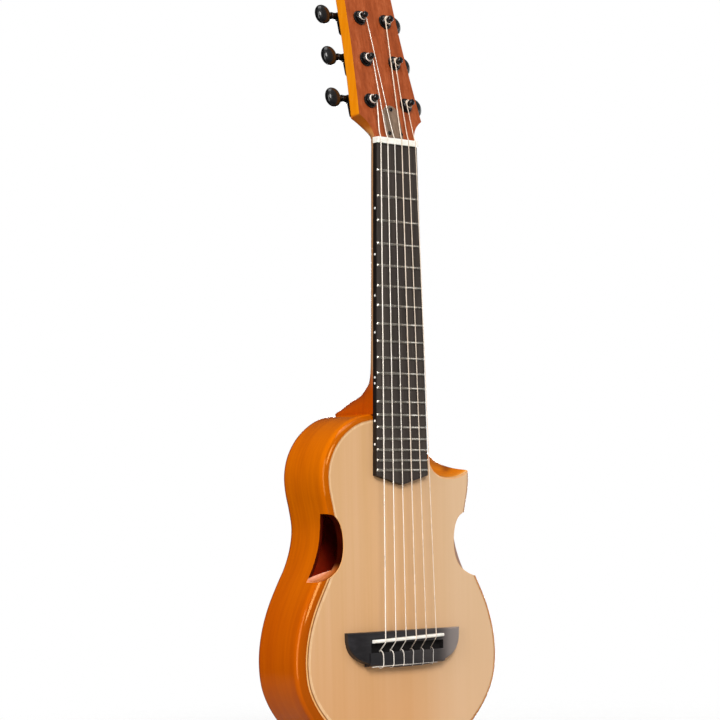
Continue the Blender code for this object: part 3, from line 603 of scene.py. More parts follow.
    f = Finish("rod_steel", Metallic=1.0)
    lines = f.noise(f.mapped((900, 900, 20)), 1.0, 3.0)
    f.colour(f.ramp(lines, ((0.3, "77787A"), (0.7, "A2A3A6"))))
    f.rough(lines, 0.3, 0.5)
    f.bump(lines, 0.00002)
    made["steel"] = f
    return {key: f.material for key, f in made.items()}


FINISH = build_finishes()


# ---- mesh helpers -------------------------------------------------------
def raw(name, verts, faces, marks=None):
    mesh = bpy.data.meshes.new(name)
    mesh.from_pydata([tuple(v) for v in verts], [], faces)
    if marks:
        mesh.polygons.foreach_set("material_index", marks)
    bm = bmesh.new()
    bm.from_mesh(mesh)
    bmesh.ops.recalc_face_normals(bm, faces=bm.faces)
    bm.to_mesh(mesh)
    bm.free()
    obj = bpy.data.objects.new(name, mesh)
    bpy.context.scene.collection.objects.link(obj)
    return obj


def stack(name, rings, marks=None, mark=0):
    """Closed solid through rings of equal point count. marks gives each band's material number."""
    n = len(rings[0])
    verts = [v for ring in rings for v in ring]
    faces, index = [], []
    for k in range(len(rings) - 1):
        for i in range(n):
            j = (i + 1) % n
            faces.append((k * n + i, k * n + j, (k + 1) * n + j, (k + 1) * n + i))
            index.append(marks[k] if marks else mark)
    faces.append(tuple(range(n - 1, -1, -1)))
    faces.append(tuple(range((len(rings) - 1) * n, len(rings) * n)))
    index += [mark, mark]
    return raw(name, verts, faces, index)


def prism(name, loop, y0, y1, mark=0):
    return stack(name, [[V(x, y, z) for x, z in loop] for y in (y0, y1)], mark=mark)


def box(name, x0, x1, y0, y1, z0, z1, mark=0):
    return prism(name, [(x0, z0), (x1, z0), (x1, z1), (x0, z1)], y0, y1, mark)


def dress(obj, finishes):
    """Puts the finishes on a shape before it is cut, so that its faces and the cut's keep their numbers."""
    marks = [face.material_index for face in obj.data.polygons]
    obj.data.materials.clear()
    for key in finishes:
        obj.data.materials.append(FINISH[key])
    obj.data.polygons.foreach_set("material_index", marks)
    return obj


def drop(obj):
    data = obj.data
    bpy.data.objects.remove(obj)
    bpy.data.meshes.remove(data)


def bake(obj):
    """Keeps the result of obj's modifiers as its mesh."""
    graph = bpy.context.evaluated_depsgraph_get()
    graph.update()
    mesh = bpy.data.meshes.new_from_object(obj.evaluated_get(graph))
    obj.modifiers.clear()
    old = obj.data
    obj.data = mesh
    mesh.name = obj.name
    bpy.data.meshes.remove(old)
    return obj


def boolean(obj, other, operation="DIFFERENCE"):
    mod = obj.modifiers.new("cut", "BOOLEAN")
    mod.operation, mod.solver, mod.object = operation, "EXACT", other
    bake(obj)
    drop(other)
    bm = bmesh.new()
    bm.from_mesh(obj.data)
    bmesh.ops.remove_doubles(bm, verts=bm.verts, dist=5e-6)
    bmesh.ops.dissolve_degenerate(bm, edges=bm.edges, dist=5e-6)
    bm.to_mesh(obj.data)
    bm.free()
    return obj


def tidy(mesh, split):
    """Takes away slivers and stray flaps that cuts can leave: groups of a few tiny faces joined to nothing else.
    split cuts faces of many corners into well-shaped triangles."""
    bm = bmesh.new()
    bm.from_mesh(mesh)
    for turn in range(2):
        bmesh.ops.remove_doubles(bm, verts=bm.verts, dist=8e-6)
        bmesh.ops.dissolve_degenerate(bm, edges=bm.edges, dist=8e-6)
    seen, stray = set(), []
    for start in bm.faces:
        if start in seen:
            continue
        group, queue = [], [start]
        seen.add(start)
        while queue:
            face = queue.pop()
            group.append(face)
            for edge in face.edges:
                if len(edge.link_faces) == 2:
                    for other in edge.link_faces:
                        if other not in seen:
                            seen.add(other)
                            queue.append(other)
        if len(group) <= 5 and sum(face.calc_area() for face in group) < 2e-5:
            stray += group
    if stray:
        bmesh.ops.delete(bm, geom=stray, context="FACES")
    loose = [v for v in bm.verts if not v.link_faces]
    if loose:
        bmesh.ops.delete(bm, geom=loose, context="VERTS")
    if split:
        bmesh.ops.triangulate(bm, faces=[face for face in bm.faces if len(face.verts) > 4], quad_method="BEAUTY", ngon_method="BEAUTY")
    bm.to_mesh(mesh)
    bm.free()


def joined(name, objects):
    bm = bmesh.new()
    for o in objects:
        bm.from_mesh(o.data)
    mesh = bpy.data.meshes.new(name)
    bm.to_mesh(mesh)
    bm.free()
    for o in objects:
        drop(o)
    obj = bpy.data.objects.new(name, mesh)
    bpy.context.scene.collection.objects.link(obj)
    return obj


def piece(obj, finishes, replaced=(), body="body", smooth=30.0, bevel=0.0, segments=2, limit=35.0):
    """Finishes a visible piece: shading, softened edges, materials, and the body that it rides on."""
    mesh = obj.data
    tidy(mesh, not bevel)
    for v in mesh.polygons:
        v.use_smooth = True
    if bevel:
        mod = obj.modifiers.new("edges", "BEVEL")
        mod.width, mod.segments, mod.limit_method = bevel * MM, segments, "ANGLE"
        mod.angle_limit = math.radians(limit)
        mod.miter_outer = "MITER_ARC"
        mod.use_clamp_overlap = True
        mod = obj.modifiers.new("normals", "WEIGHTED_NORMAL")
        mod.weight, mod.keep_sharp = 60, True
        bake(obj)
    else:
        mesh.set_sharp_from_angle(angle=math.radians(smooth))
    mesh = obj.data
    marks = [face.material_index for face in mesh.polygons]
    mesh.materials.clear()
    for key in finishes:
        mesh.materials.append(FINISH[key])
    mesh.polygons.foreach_set("material_index", [min(m, len(finishes) - 1) for m in marks])
    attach(obj, body)
    if replaced:
        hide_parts(*replaced)
    return obj


def bar(name, stations, segments, axis, base, phase=0.0, mark=0):
    """Solid of elliptical sections along the head's normal ('n') or across it ('x')."""
    rings = []
    for h, a, b in stations:
        ring = []
        for c, s in circle(segments, phase):
            if axis == "n":
                ring.append(head_point(base[0] + a * c, base[1] + h, base[2] + b * s))
            else:
                ring.append(head_point(base[0] + h, base[1] + b * s, base[2] + a * c))
        rings.append(ring)
    return stack(name, rings, mark=mark)


def tube(name, route, radius, sides=10, closed_ends=True):
    """Round tube along a route, carried along without twisting."""
    rings, n = [], len(route)
    side = None
    for i, p in enumerate(route):
        before = (p - route[i - 1]).normalized() if i else None
        after = (route[i + 1] - p).normalized() if i < n - 1 else None
        along = (before + after).normalized() if before and after else (before or after)
        if side is None:
            side = Vector((1, 0, 0)) if abs(along.x) < 0.8 else Vector((0, 0, 1))
        side = (side - side.dot(along) * along).normalized()
        w = along.cross(side)
        r = radius(i / (n - 1)) if callable(radius) else radius
        rings.append([p + r * MM * (c * side + s * w) for c, s in circle(sides)])
    return stack(name, rings)


def rounded(points, steps=6, reach=0.5):
    """A route with each inner corner turned into a quadratic curve."""
    out = [points[0]]
    for a, b, c in zip(points, points[1:], points[2:]):
        start, end = b.lerp(a, reach), b.lerp(c, reach)
        for k in range(steps + 1):
            t = k / steps
            q = start.lerp(b, t).lerp(b.lerp(end, t), t)
            if (q - out[-1]).length > 5e-6:
                out.append(q)
    out.append(points[-1])
    return out


# ---- body ---------------------------------------------------------------
LOOP = body_loop(120)
BACK_Y = TOP_Y + BODY_DEPTH


def cutaway(name, grow=0.0, mark=0, floor=None):
    count, levels = 52, 20 if floor is None else 2
    front, back = spline(CUT_FRONT, count), spline(CUT_BACK, count)
    end = BACK_Y + 5.0 if floor is None else floor
    rings = []
    for k in range(levels):
        y = -6.0 + (end + 6.0) * k / (levels - 1)
        f = max(0.0, (y - TOP_Y) / BODY_DEPTH) ** CUT_EASE
        curve = [(a[0] + (b[0] - a[0]) * f, a[1] + (b[1] - a[1]) * f) for a, b in zip(front, back)]
        if grow:
            curve = shift_open(curve, grow)
        first, last = curve[0], curve[-1]
        ring = curve + [(150, last[1]), (150, -195), (first[0], -195)]
        rings.append([V(x, y, z) for x, z in ring])
    return stack(name, rings, mark=mark)


def port(name, side, grow=0.0, floor=PORT_FLOOR, mark=0):
    curve = spline(PORT, 56)
    if grow:
        curve = shift_open(curve, grow)
    loop = curve + [(150, curve[-1][1]), (150, curve[0][1])]
    if floor != PORT_FLOOR:
        return prism(name, [(side * x, z) for x, z in loop], -6.0, floor, mark)
    # the floor of the port comes forward a little at its upper end
    cut = prism(name, [(side * x, z) for x, z in loop], -6.0, floor, mark)
    wedge = stack("w", [[V(x, y, z) for y, z in ((floor + 2, -322.0), (floor - 3.2, -322.0), (floor - 2.9, -327.0), (floor - 1.2, -332.0),
                                                (floor + 0.02, -341.0), (floor + 2, -341.0))] for x in (side * 10.0, side * 160.0)], mark=mark)
    return boolean(dress(cut, ("inside",) * (mark + 1)), dress(wedge, ("inside",) * (mark + 1)))


def build_body():
    seam = TOP_Y + EDGE_DEPTH
    # sides, bare wood inside and dark at the ports, a painted shade of the port's inside
    skins = ("amber", "inside", "port_dark", "scoop")
    rim = dress(prism("sides", LOOP, seam, BACK_Y - BACK_THICK), skins)
    boolean(rim, dress(cutaway("c", 0.0, 3), skins))
    hollow = dress(prism("h", inset(LOOP, SIDE_THICK), 0, BACK_Y + 10, 1), skins)
    boolean(hollow, dress(cutaway("c", SIDE_THICK, 1), skins))
    boolean(rim, hollow)
    for s in (-1, 1):
        boolean(rim, dress(port("p", s, mark=2), skins))
    piece(rim, skins, ("rim",))

    # rounded front edge
    skins = ("amber", "inside", "port_wall", "scoop")
    rings = []
    steps = 14
    for k in range(steps + 1):
        a = math.pi / 2 * k / steps
        y = TOP_Y + EDGE_R * (1 - math.cos(a))
        rings.append([V(x, y, z) for x, z in edge_loop(LOOP, 1 - math.sin(a))])
    edge = dress(stack("rounded_edge", rings), skins)
    boolean(edge, dress(cutaway("c", 0.0, 3), skins))
    for s in (-1, 1):
        boolean(edge, dress(port("p", s, mark=2), skins))
    boolean(edge, dress(prism("s", edge_loop(LOOP, 1.0, lambda z: 0.02), -5, TOP_Y + TOP_THICK), skins))
    hollow = dress(prism("h", inset(LOOP, LINING_W), -5, 30, 1), skins)
    boolean(hollow, dress(cutaway("c", SIDE_THICK, 1), skins))
    for s in (-1, 1):
        boolean(hollow, dress(port("p", s, SIDE_THICK, 40, 1), skins))
    boolean(edge, hollow)
    piece(edge, skins, ("top_edge",))

    # soundboard with three inlaid lines along the outline, cut through by the ports and the cutaway
    skins = ("spruce", "line_orange", "line_brown", "line_pale", "end_grain", "port_wall")
    w1 = lambda z: 0.35 + 1.15 * lower(z)
    w2 = lambda z: w1(z) + 0.35 + 0.95 * lower(z)
    w3 = lambda z: w2(z) + 1.9 + 0.8 * lower(z)
    rings = [[V(x, y, z) for x, z in edge_loop(LOOP, 1.0, w)] for y, w in (
        (TOP_Y + TOP_THICK, None), (TOP_Y, None), (TOP_Y, w1), (TOP_Y, w2), (TOP_Y, w3))]
    top = dress(stack("top", rings, (0, 1, 2, 3)), skins)
    boolean(top, dress(cutaway("c", 1.2, 4, TOP_Y + 0.3), skins))
    boolean(top, dress(cutaway("c", 0.0, 4), skins))
    for s in (-1, 1):
        boolean(top, dress(port("p", s, 0.45, TOP_Y + 0.25, 1), skins))
        boolean(top, dress(port("p", s, mark=5), skins))
    piece(top, skins, ("soundboard",))

    # ledge along the lower end of each port, cut slantwise where it meets the lining
    for s, word in ((-1, "bass"), (1, "treble")):
        curve = [q for q in spline(PORT, 120) if 73.0 < q[0] < 93.3 and q[1] < -366.5]
        outer = shift_open(curve, 3.0)
        rings = []
        for k, ((x, z), (xo, zo)) in enumerate(zip(curve, outer)):
            f = k / (len(curve) - 1)
            deep = 13.5 + (20.6 - 13.5) * min(1.0, 1.25 * f) ** 0.8
            lift = max(0.0, -371.4 - 9.9 * (x - 64.7) / 28.7 - z)
            ring = [V(s * x, 13.25, z)]
            for j in range(1, 9):
                g = j / 8
                ring.append(V(s * x, 13.25 + (deep - 13.25) * math.sin(math.pi / 2 * g), z + lift * g ** 1.2))
            ring += [V(s * xo, deep, zo), V(s * xo, 13.25, zo)]
            rings.append(ring)
        piece(dress(stack("port_ledge_" + word, rings), ("lip",)), ("lip",))

    # braces under the soundboard, tapered to their ends
    under = TOP_Y + TOP_THICK
    bars = []
    for z, half in ((-312.0, 62.0), (-398.0, 80.0)):
        rings = []
        for k in range(25):
            x = -half + 2 * half * k / 24
            h = 9.0 * min(1.0, 0.25 + 3.2 * (1 - abs(x) / half))
            rings.append([V(x, under, z - 3), V(x, under, z + 3), V(x, under + h * 0.7, z + 2.4), V(x, under + h, z),
                          V(x, under + h * 0.7, z - 2.4)])
        bars.append(stack("b", rings))
    for x in (-34.0, 0.0, 34.0):
        z0, z1 = -514 + abs(x) * 0.25, -467.0
        rings = []
        for k in range(17):
            z = z0 + (z1 - z0) * k / 16
            h = 5.0 * min(1.0, 0.3 + 4.0 * min(z - z0, z1 - z) / (z1 - z0))
            rings.append([V(x - 2.5, under, z), V(x + 2.5, under, z), V(x + 2.0, under + h * 0.7, z), V(x, under + h, z),
                          V(x - 2.0, under + h * 0.7, z)])
        bars.append(stack("b", rings))
    piece(joined("braces", bars), ("raw_wood",))

    # back, its outer edge rounded over
    rings = [[V(x, BACK_Y - BACK_THICK, z) for x, z in LOOP]]
    for k in range(7):
        a = math.pi / 2 * k / 6
        rings.append([V(x, BACK_Y - 1.7 + 1.7 * math.sin(a), z) for x, z in inset(LOOP, 1.8 * (1 - math.cos(a)))])
    plate = dress(stack("back_plate", rings), ("back", "inside"))
    for face in plate.data.polygons:
        if face.normal.y < -0.9:
            face.material_index = 1
    piece(plate, ("back", "inside"), ("back",))


# ---- neck and head ------------------------------------------------------
def build_neck():
    segments = 40

    def section(half, m, front, back):
        ring = []
        for i in range(segments + 1):
            a = math.pi * i / segments
            c, s = round(math.cos(a), 12), round(math.sin(a), 12)
            x, f = -half * math.copysign(abs(c) ** (2 / m), c), abs(s) ** (2 / m)
            ring.append(V(x, front[0] + (back[0] - front[0]) * f, front[1] + (back[1] - front[1]) * f))
        return ring

    rings, faces_of_head = [], []
    shaft = denser([(z, zb, d, m) for z, zb, d, m in NECK[::-1]], 5)
    shaft.insert(0, (-239.6, -239.6, 54.9, 14.0))
    for z, z_back, depth, m in shaft:
        rings.append(section(board_half(min(z, 0.0)) - 0.1, m, (TOP_Y, z), (TOP_Y + depth, z_back)))
    rings.append(section(24.0, 2.4, head_plane(0, 0.25), (15.1, -0.4)))
    first_head = len(rings)
    wing = [k for k, row in enumerate(HEAD) if row[0] == 20.6][0]
    rows = denser(list(HEAD[:wing + 1]), 4)[:-1] + denser(list(HEAD[wing:]), 3)
    for u, half, m in rows:
        rings.append(section(half, m, head_plane(0, u), head_plane(HEAD_THICK, u)))
    n = len(rings[0])
    verts = [v for ring in rings for v in ring]
    faces, marks = [], []
    for k in range(len(rings) - 1):
        for i in range(n):
            j = (i + 1) % n
            faces.append((k * n + i, k * n + j, (k + 1) * n + j, (k + 1) * n + i))
            marks.append(1 if i == n - 1 and k >= first_head - 1 else 0)
    faces.append(tuple(range(n - 1, -1, -1)))
    faces.append(tuple(range((len(rings) - 1) * n, len(rings) * n)))
    marks += [0, 0]
    neck = dress(raw("neck_and_head", verts, faces, marks), ("neck", "head_face"))
    holes = []
    for u, x in zip(POST_U, POST_X):
        for s in (-1, 1):
            holes.append(bar("h", [(-6, 4.75, 4.75), (30, 4.75, 4.75)], 28, "n", (s * x, 0, u)))
    boolean(neck, dress(joined("holes", holes), ("neck", "head_face")))
    piece(neck, ("neck", "head_face"), ("neck",), bevel=0.7, segments=3, limit=50.0)


def build_cover():
    half = 9.2
    outline = [(half, 0.6), (half, 20.0)]
    for i in range(1, 30):
        a = math.pi * i / 30
        outline.append((half * math.cos(a), 20.0 + 11.8 * math.sin(a) ** 0.8))
    outline += [(-half, 20.0), (-half, 0.6)]
    rings = []
    for n, d in ((0.0, 0.0), (-1.5, 0.0), (-1.85, 0.12), (-2.05, 0.35), (-2.1, 0.7)):
        rings.append([head_point(x * (1 - d / half), n, u + (d if u < 1 else -d * u / 31.8)) for x, u in outline])
    cover = stack("rod_cover", rings)
    holes = [bar("h", [(-6, 1.25, 1.25), (6, 1.25, 1.25)], 16, "n", (x, 0, u)) for x, u in COVER_SCREWS]
    boolean(cover, joined("holes", holes))
    piece(cover, ("cover",), ("truss_rod_cover",))
    for i, (x, u) in enumerate(COVER_SCREWS):
        stations = [(-3.3, 0.6, 0.6), (-3.26, 1.0, 1.0), (-3.1, 1.45, 1.45), (-2.8, 1.8, 1.8), (-2.4, 1.92, 1.92), (-2.12, 1.92, 1.92),
                    (-2.12, 0.95, 0.95), (6.0, 0.9, 0.9), (8.0, 0.3, 0.3)]
        screw = bar("screw_" + str(i + 1), stations, 28, "n", (x, 0, u))
        for turn in (0, 1):
            a, b = (1.15, 0.24) if turn else (0.24, 1.15)
            slot = stack("s", [[head_point(x + p * a, n, u + q * b) for p, q in ((-1, -1), (1, -1), (1, 1), (-1, 1))]
                               for n in (-4.0, -2.75)])
            boolean(screw, slot)
        piece(screw, ("black",), ("cover_screw_" + str(i + 1),), smooth=35)


def build_board():
    outline = [(board_half(-0.02), -0.02), (BOARD_HALF, BOARD_END), (0, BOARD_TIP), (-BOARD_HALF, BOARD_END),
               (-board_half(-0.02), -0.02)]
    skins = ("board", "board_edge")
    board = dress(prism("fingerboard", outline, 0.0, TOP_Y), skins)
    for face in board.data.polygons:
        face.material_index = 0 if abs(face.normal.y) > 0.5 else 1
    piece(board, skins, ("fretboard",), bevel=0.35, segments=2)
    for n in range(1, FRET_COUNT + 1):
        z = fret_z(n)
        profile = [(-0.3, 0.3), (-0.3, 0.0), (-1.25, 0.0), (-1.25, -0.18)]
        for k in range(1, 12):
            a = math.pi * k / 12
            profile.append((-1.22 * math.cos(a), -0.18 - 1.08 * math.sin(a)))
        profile += [(1.25, -0.18), (1.25, 0.0), (0.3, 0.0), (0.3, 0.3)]
        half = board_half(z) - 0.35
        rings = []
        for s, back, drop_by in ((-1, 0.0, 1.0), (-1, 0.25, 0.45), (-1, 0.7, 0.0), (1, 0.7, 0.0), (1, 0.25, 0.45), (1, 0.0, 1.0)):
            ring = []
            for dz, y in profile:
                h = max(0.0, -y - 0.18)
                ring.append(V(s * (half - back - 0.55 * h), y + 0.5 * drop_by * h, z + dz * (1 - 0.12 * drop_by)))
            rings.append(ring)
        piece(stack(f"wire_{n:02d}", rings), ("fret",), (f"fret_{n:02d}",), smooth=50)
    # position dots let into the bass side of the board
    dots = []
    for n, count in ((3, 1), (5, 1), (7, 1), (9, 1), (12, 2), (15, 1), (17, 1)):
        middle = (fret_z(n - 1) + fret_z(n)) / 2
        for k in range(count):
            z = middle + (k - (count - 1) / 2) * 5.2
            x = -board_half(z)
            rings = []
            for out, r in ((-0.6, 1.05), (0.0, 1.05), (0.1, 0.98), (0.14, 0.6)):
                rings.append([V(x - out, 2.55 + r * c, z + r * s) for c, s in circle(20)])
            dots.append(stack("d", rings))
    piece(joined("side_dots", dots), ("dot",), smooth=40)


def nut_x(i):
    return NUT_SPAN * (1 - 2 * i / 5)


def saddle_x(i):
    return SADDLE_SPAN * (1 - 2 * i / 5)


def saddle_z(x):
    return SADDLE_Z + SADDLE_SLANT * x


def build_nut():
    half, top = NUT_HALF + 0.2, -2.0
    outline = [(half, TOP_Y), (half, top + 0.7)]
    for k in range(1, 6):
        a = math.pi / 2 * k / 5
        outline.append((half - 0.7 + 0.7 * math.cos(a), top + 0.7 - 0.7 * math.sin(a)))
    for i in range(6):
        w = STRING_D[i] / 2 + 0.12
        outline.append((nut_x(i) + w + 0.12, top))
        for k in range(9):
            a = math.pi * k / 8
            outline.append((nut_x(i) + w * math.cos(a), -1.12 - 0.3 + w * math.sin(a) * 0.8))
        outline.append((nut_x(i) - w - 0.12, top))
    for k in range(6):
        a = math.pi / 2 * k / 5
        outline.append((-half + 0.7 - 0.7 * math.sin(a), top + 0.7 - 0.7 * math.cos(a)))
    outline.append((-half, TOP_Y))
    rings = [[V(x, y, z) for x, y in outline] for z in (0.0, 5.4)]
    piece(stack("top_nut", rings), ("bone",), ("nut",), bevel=0.28, segments=2, limit=60.0)


# ---- bridge -------------------------------------------------------------
def bridge_low(x):
    f = min(abs(x) / BRIDGE_HALF, 1.0)
    return BRIDGE_TOP_Z - 1.5 - (BRIDGE_DROP - 1.5) * (1 - f ** 2.8) ** (1 / 2.8)


def bridge_height(x):
    f = max(0.0, (abs(x) - 46.0) / (BRIDGE_HALF - 46.0))
    return BRIDGE_H - 3.9 * f ** 1.8


def build_bridge():
    base = TOP_Y
    h0 = TOP_Y - 0.3
    rings = []
    for k in range(-34, 35):
        x = BRIDGE_HALF * math.sin(math.pi / 2 * k / 34)
        zt, zl, h = BRIDGE_TOP_Z, bridge_low(x), bridge_height(x)
        top = h0 - h
        r = min(1.5, (zt - zl) * 0.3, h * 0.5)
        ring = [V(x, base, zt)]
        for j in range(6):
            a = math.pi / 2 * j / 5
            ring.append(V(x, top + r - r * math.sin(a), zt - r + r * math.cos(a)))
        for j in range(6):
            a = math.pi / 2 * j / 5
            ring.append(V(x, top + r - r * math.cos(a), zl + r - r * math.sin(a)))
        ring.append(V(x, base, zl))
        rings.append(ring)
    skins = ("ebony", "ebony_raw")
    bridge = dress(stack("bridge_block", rings), skins)
    tie = [(y, z) for y, z in ((h0 - 0.3, -458.6), (h0 - 5.0, -458.2), (h0 - TIE_H + 1.3, -457.5), (h0 - TIE_H + 0.5, -457.1),
                               (h0 - TIE_H, -456.2), (h0 - TIE_H, -446.9), (h0 - TIE_H + 0.25, -446.4), (h0 - TIE_H + 0.8, -446.2),
                               (h0 - 0.3, -446.2))]
    boolean(bridge, dress(stack("t", [[V(x, y, z) for y, z in tie] for x in (-44.0, 44.0)]), skins), "UNION")
    boolean(bridge, dress(box("t", -42.5, 42.5, -12, h0 - 2.8, -446.26, -438.6, 1), skins))
    t = 1.45
    slot = [(-SADDLE_HALF - 0.2, saddle_z(-SADDLE_HALF) - t), (SADDLE_HALF + 0.2, saddle_z(SADDLE_HALF) - t),
            (SADDLE_HALF + 0.2, saddle_z(SADDLE_HALF) + t), (-SADDLE_HALF - 0.2, saddle_z(-SADDLE_HALF) + t)]
    boolean(bridge, dress(prism("s", slot, -12, h0 - 2.8, 1), skins))
    holes = []
    for i in range(6):
        x, r = saddle_x(i), STRING_D[i] / 2 + 0.35
        holes.append(stack("h", [[V(x + r * c, 0.6 + r * s, z) for c, s in circle(20)] for z in (-470, -442)], mark=1))
    boolean(bridge, dress(joined("holes", holes), skins))
    piece(bridge, skins, ("bridge",), bevel=0.22, segments=2, limit=50.0)

    rings = []
    t = 1.35
    for k in range(25):
        x = -SADDLE_HALF + 2 * SADDLE_HALF * k / 24
        end = max(0.0, abs(x) - 31.0) / 10.0
        crest = -6.9 + 0.9 * end ** 1.4 - 0.02
        ring = [V(x, 1.9, saddle_z(x) - t), V(x, crest + 0.7, saddle_z(x) - t)]
        for j in range(1, 8):
            a = math.pi * j / 8
            ring.append(V(x, crest + 0.7 - 0.7 * math.sin(a), saddle_z(x) - t * math.cos(a)))
        ring += [V(x, crest + 0.7, saddle_z(x) + t), V(x, 1.9, saddle_z(x) + t)]
        rings.append(ring)
    piece(stack("saddle_strip", rings), ("bone",), ("saddle",), smooth=40)


# ---- tuners -------------------------------------------------------------
def tuner_place(i):
    side = 1 if i < 3 else -1
    row = i if i < 3 else 5 - i
    return side, side * POST_X[row], POST_U[row]


def build_tuner(i):
    side, x, u = tuner_place(i)
    n0 = HEAD_THICK
    case = []
    for n, d in ((n0, 0.5), (n0 + 0.5, 0.0), (n0 + 7.6, 0.0), (n0 + 8.8, 0.35), (n0 + 9.6, 1.1), (n0 + 9.95, 2.1), (n0 + 10.05, 3.0)):
        ring = []
        for cx, cu in ((-1, -1), (1, -1), (1, 1), (-1, 1)):
            for k in range(7):
                a = math.atan2(cu, cx) + (k / 6 - 0.5) * math.pi / 2
                r = 3.2 - d
                ring.append((cx * 5.0 + r * math.cos(a), 1.9 + cu * 7.6 + r * math.sin(a)))
        case.append([head_point(x + px, n, u + pu) for px, pu in ring])
    housing = stack("machine_" + str(i + 1), case)
    barrel = bar("b", [(-4.2, 4.1, 4.1), (-4.1, 4.35, 4.35), (-3.8, 4.6, 4.6), (n0 + 1, 4.6, 4.6)], 40, "n", (x, 0, u))
    boolean(housing, barrel, "UNION")
    boolean(housing, bar("w", [(-1.5, 6.2, 6.2), (-1.4, 6.55, 6.55), (-1.1, 6.8, 6.8), (0.0, 6.8, 6.8)], 48, "n", (x, 0, u)), "UNION")
    boolean(housing, bar("n", [(-3.6, 4.9, 4.9), (-3.2, 5.65, 5.65), (-1.3, 5.65, 5.65)], 6, "n", (x, 0, u)), "UNION")
    sleeve = [(6.5, 4.3), (9.6, 4.15), (10.6, 3.9), (11.4, 3.3), (15.8, 3.0), (16.2, 3.25), (17.6, 3.25), (COLLAR_END - 0.1, 2.95), (COLLAR_END, 2.6)]
    boolean(housing, bar("s", [(side * h, r, r) for h, r in sleeve], 36, "x", (x, WORM_N, u + WORM_U)), "UNION")
    # lug below the case with its fixing screw
    lug = stack("l", [[head_point(x + r * c, n, u - 10.4 + r * s) for c, s in circle(28)]
                      for n, r in ((n0, 3.0), (n0 + 1.5, 3.0), (n0 + 1.8, 2.7))])
    boolean(housing, lug, "UNION")
    boolean(housing, bar("g", [(-8, 3.2, 3.2), (n0 + 1.6, 3.2, 3.2), (n0 + 1.6, 5.35, 5.35), (n0 + 6.6, 5.35, 5.35)],
                         32, "n", (x, 0, u)))
    boolean(housing, bar("g", [(side * h, r, r) for h, r in ((-6.6, 2.6), (6.4, 2.6), (6.4, 1.7), (30, 1.7))],
                         24, "x", (x, WORM_N, u + WORM_U)))
    piece(housing, ("black",), (f"tuner_housing_{i + 1}",), smooth=32)
    screw = bar("lug_screw_" + str(i + 1), [(n0 + 1.8, 1.9, 1.9), (n0 + 2.2, 1.9, 1.9), (n0 + 2.6, 1.6, 1.6), (n0 + 2.8, 1.1, 1.1)],
                24, "n", (x, 0, u - 10.4))
    for turn in (0, 1):
        a, b = (1.2, 0.24) if turn else (0.24, 1.2)
        boolean(screw, stack("s", [[head_point(x + p * a, n, u - 10.4 + q * b) for p, q in ((-1, -1), (1, -1), (1, 1), (-1, 1))]
                                   for n in (n0 + 2.4, n0 + 4.0)]))
    piece(screw, ("black",), smooth=35)

    stations = [(-10.6, 0.4, 0.4), (-10.58, 1.1, 1.1), (-10.45, 1.75, 1.75), (-10.15, 2.3, 2.3), (-9.7, 2.7, 2.7), (-9.1, 2.94, 2.94), (-8.2, POST_R, POST_R),
                (-7.2, 2.6, 2.6), (-5.6, 2.55, 2.55), (-4.8, 2.85, 2.85), (-4.5, POST_R, POST_R),
                (n0 + 2.3, POST_R, POST_R), (n0 + 2.3, 4.9, 4.9), (n0 + 6.3, 4.9, 4.9)]
    post = bar("capstan_" + str(i + 1), stations, 40, "n", (x, 0, u))
    boolean(post, stack("h", [[head_point(x + h, -6.6 + 0.75 * s, u + 0.75 * c) for c, s in circle(16)] for h in (-6, 6)]))
    piece(post, ("black",), (f"tuner_post_{i + 1}",), f"post_{i + 1}", smooth=32)

    # turns of the string round the post, ending in the post's hole
    r = STRING_D[i] / 2
    big = POST_R + 0.12 + r
    route = []
    turns, steps = 2.25, 72
    for k in range(steps + 1):
        f = k / steps
        a = 2 * math.pi * turns * f
        if f < 0.8:
            g, n = 1.0, -5.6 + 0.95 * math.sin(math.pi * min(f / 0.8, 1.0) * 0.5)
        else:
            t = (f - 0.8) / 0.2
            g, n = 1.0 - 0.3 * t, -4.65 - 1.95 * t
        route.append(head_point(x - side * big * g * math.cos(a), n, u + big * g * math.sin(a)))
    route.append(head_point(x + side * 0.5, -6.6, u))
    piece(tube("winding_" + str(i + 1), route, r, 10), ("nylon" if i < 3 else "wound",), body=f"post_{i + 1}",
          smooth=60)

    b = BUTTON_AT
    stations = [(-5.9, 2.2, 2.2), (-3.4, 2.2, 2.2), (-2.6, 1.7, 1.7), (-0.8, 2.2, 2.2), (0.8, 1.7, 1.7), (2.6, 2.2, 2.2),
                (5.9, 2.2, 2.2), (5.9, 1.45, 1.45), (COLLAR_END + 0.4, 1.45, 1.45), (COLLAR_END + 0.4, 2.4, 2.4),
                (COLLAR_END + 1.0, 2.6, 2.45)]
    for k in range(1, 28):
        a = math.pi * (0.10 + 0.90 * k / 28)
        stations.append((b - 7.6 * math.cos(a), 9.1 * math.sin(a) ** 0.8, 4.8 * math.sin(a) ** 0.75))
    stations.append((b + 7.6, 0.3, 0.2))
    key = bar("peg_key_" + str(i + 1), [(side * h, ra, rb) for h, ra, rb in stations], 44, "x", (x, WORM_N, u + WORM_U))
    piece(key, ("button",), (f"tuner_key_{i + 1}",), f"key_{i + 1}", smooth=40)


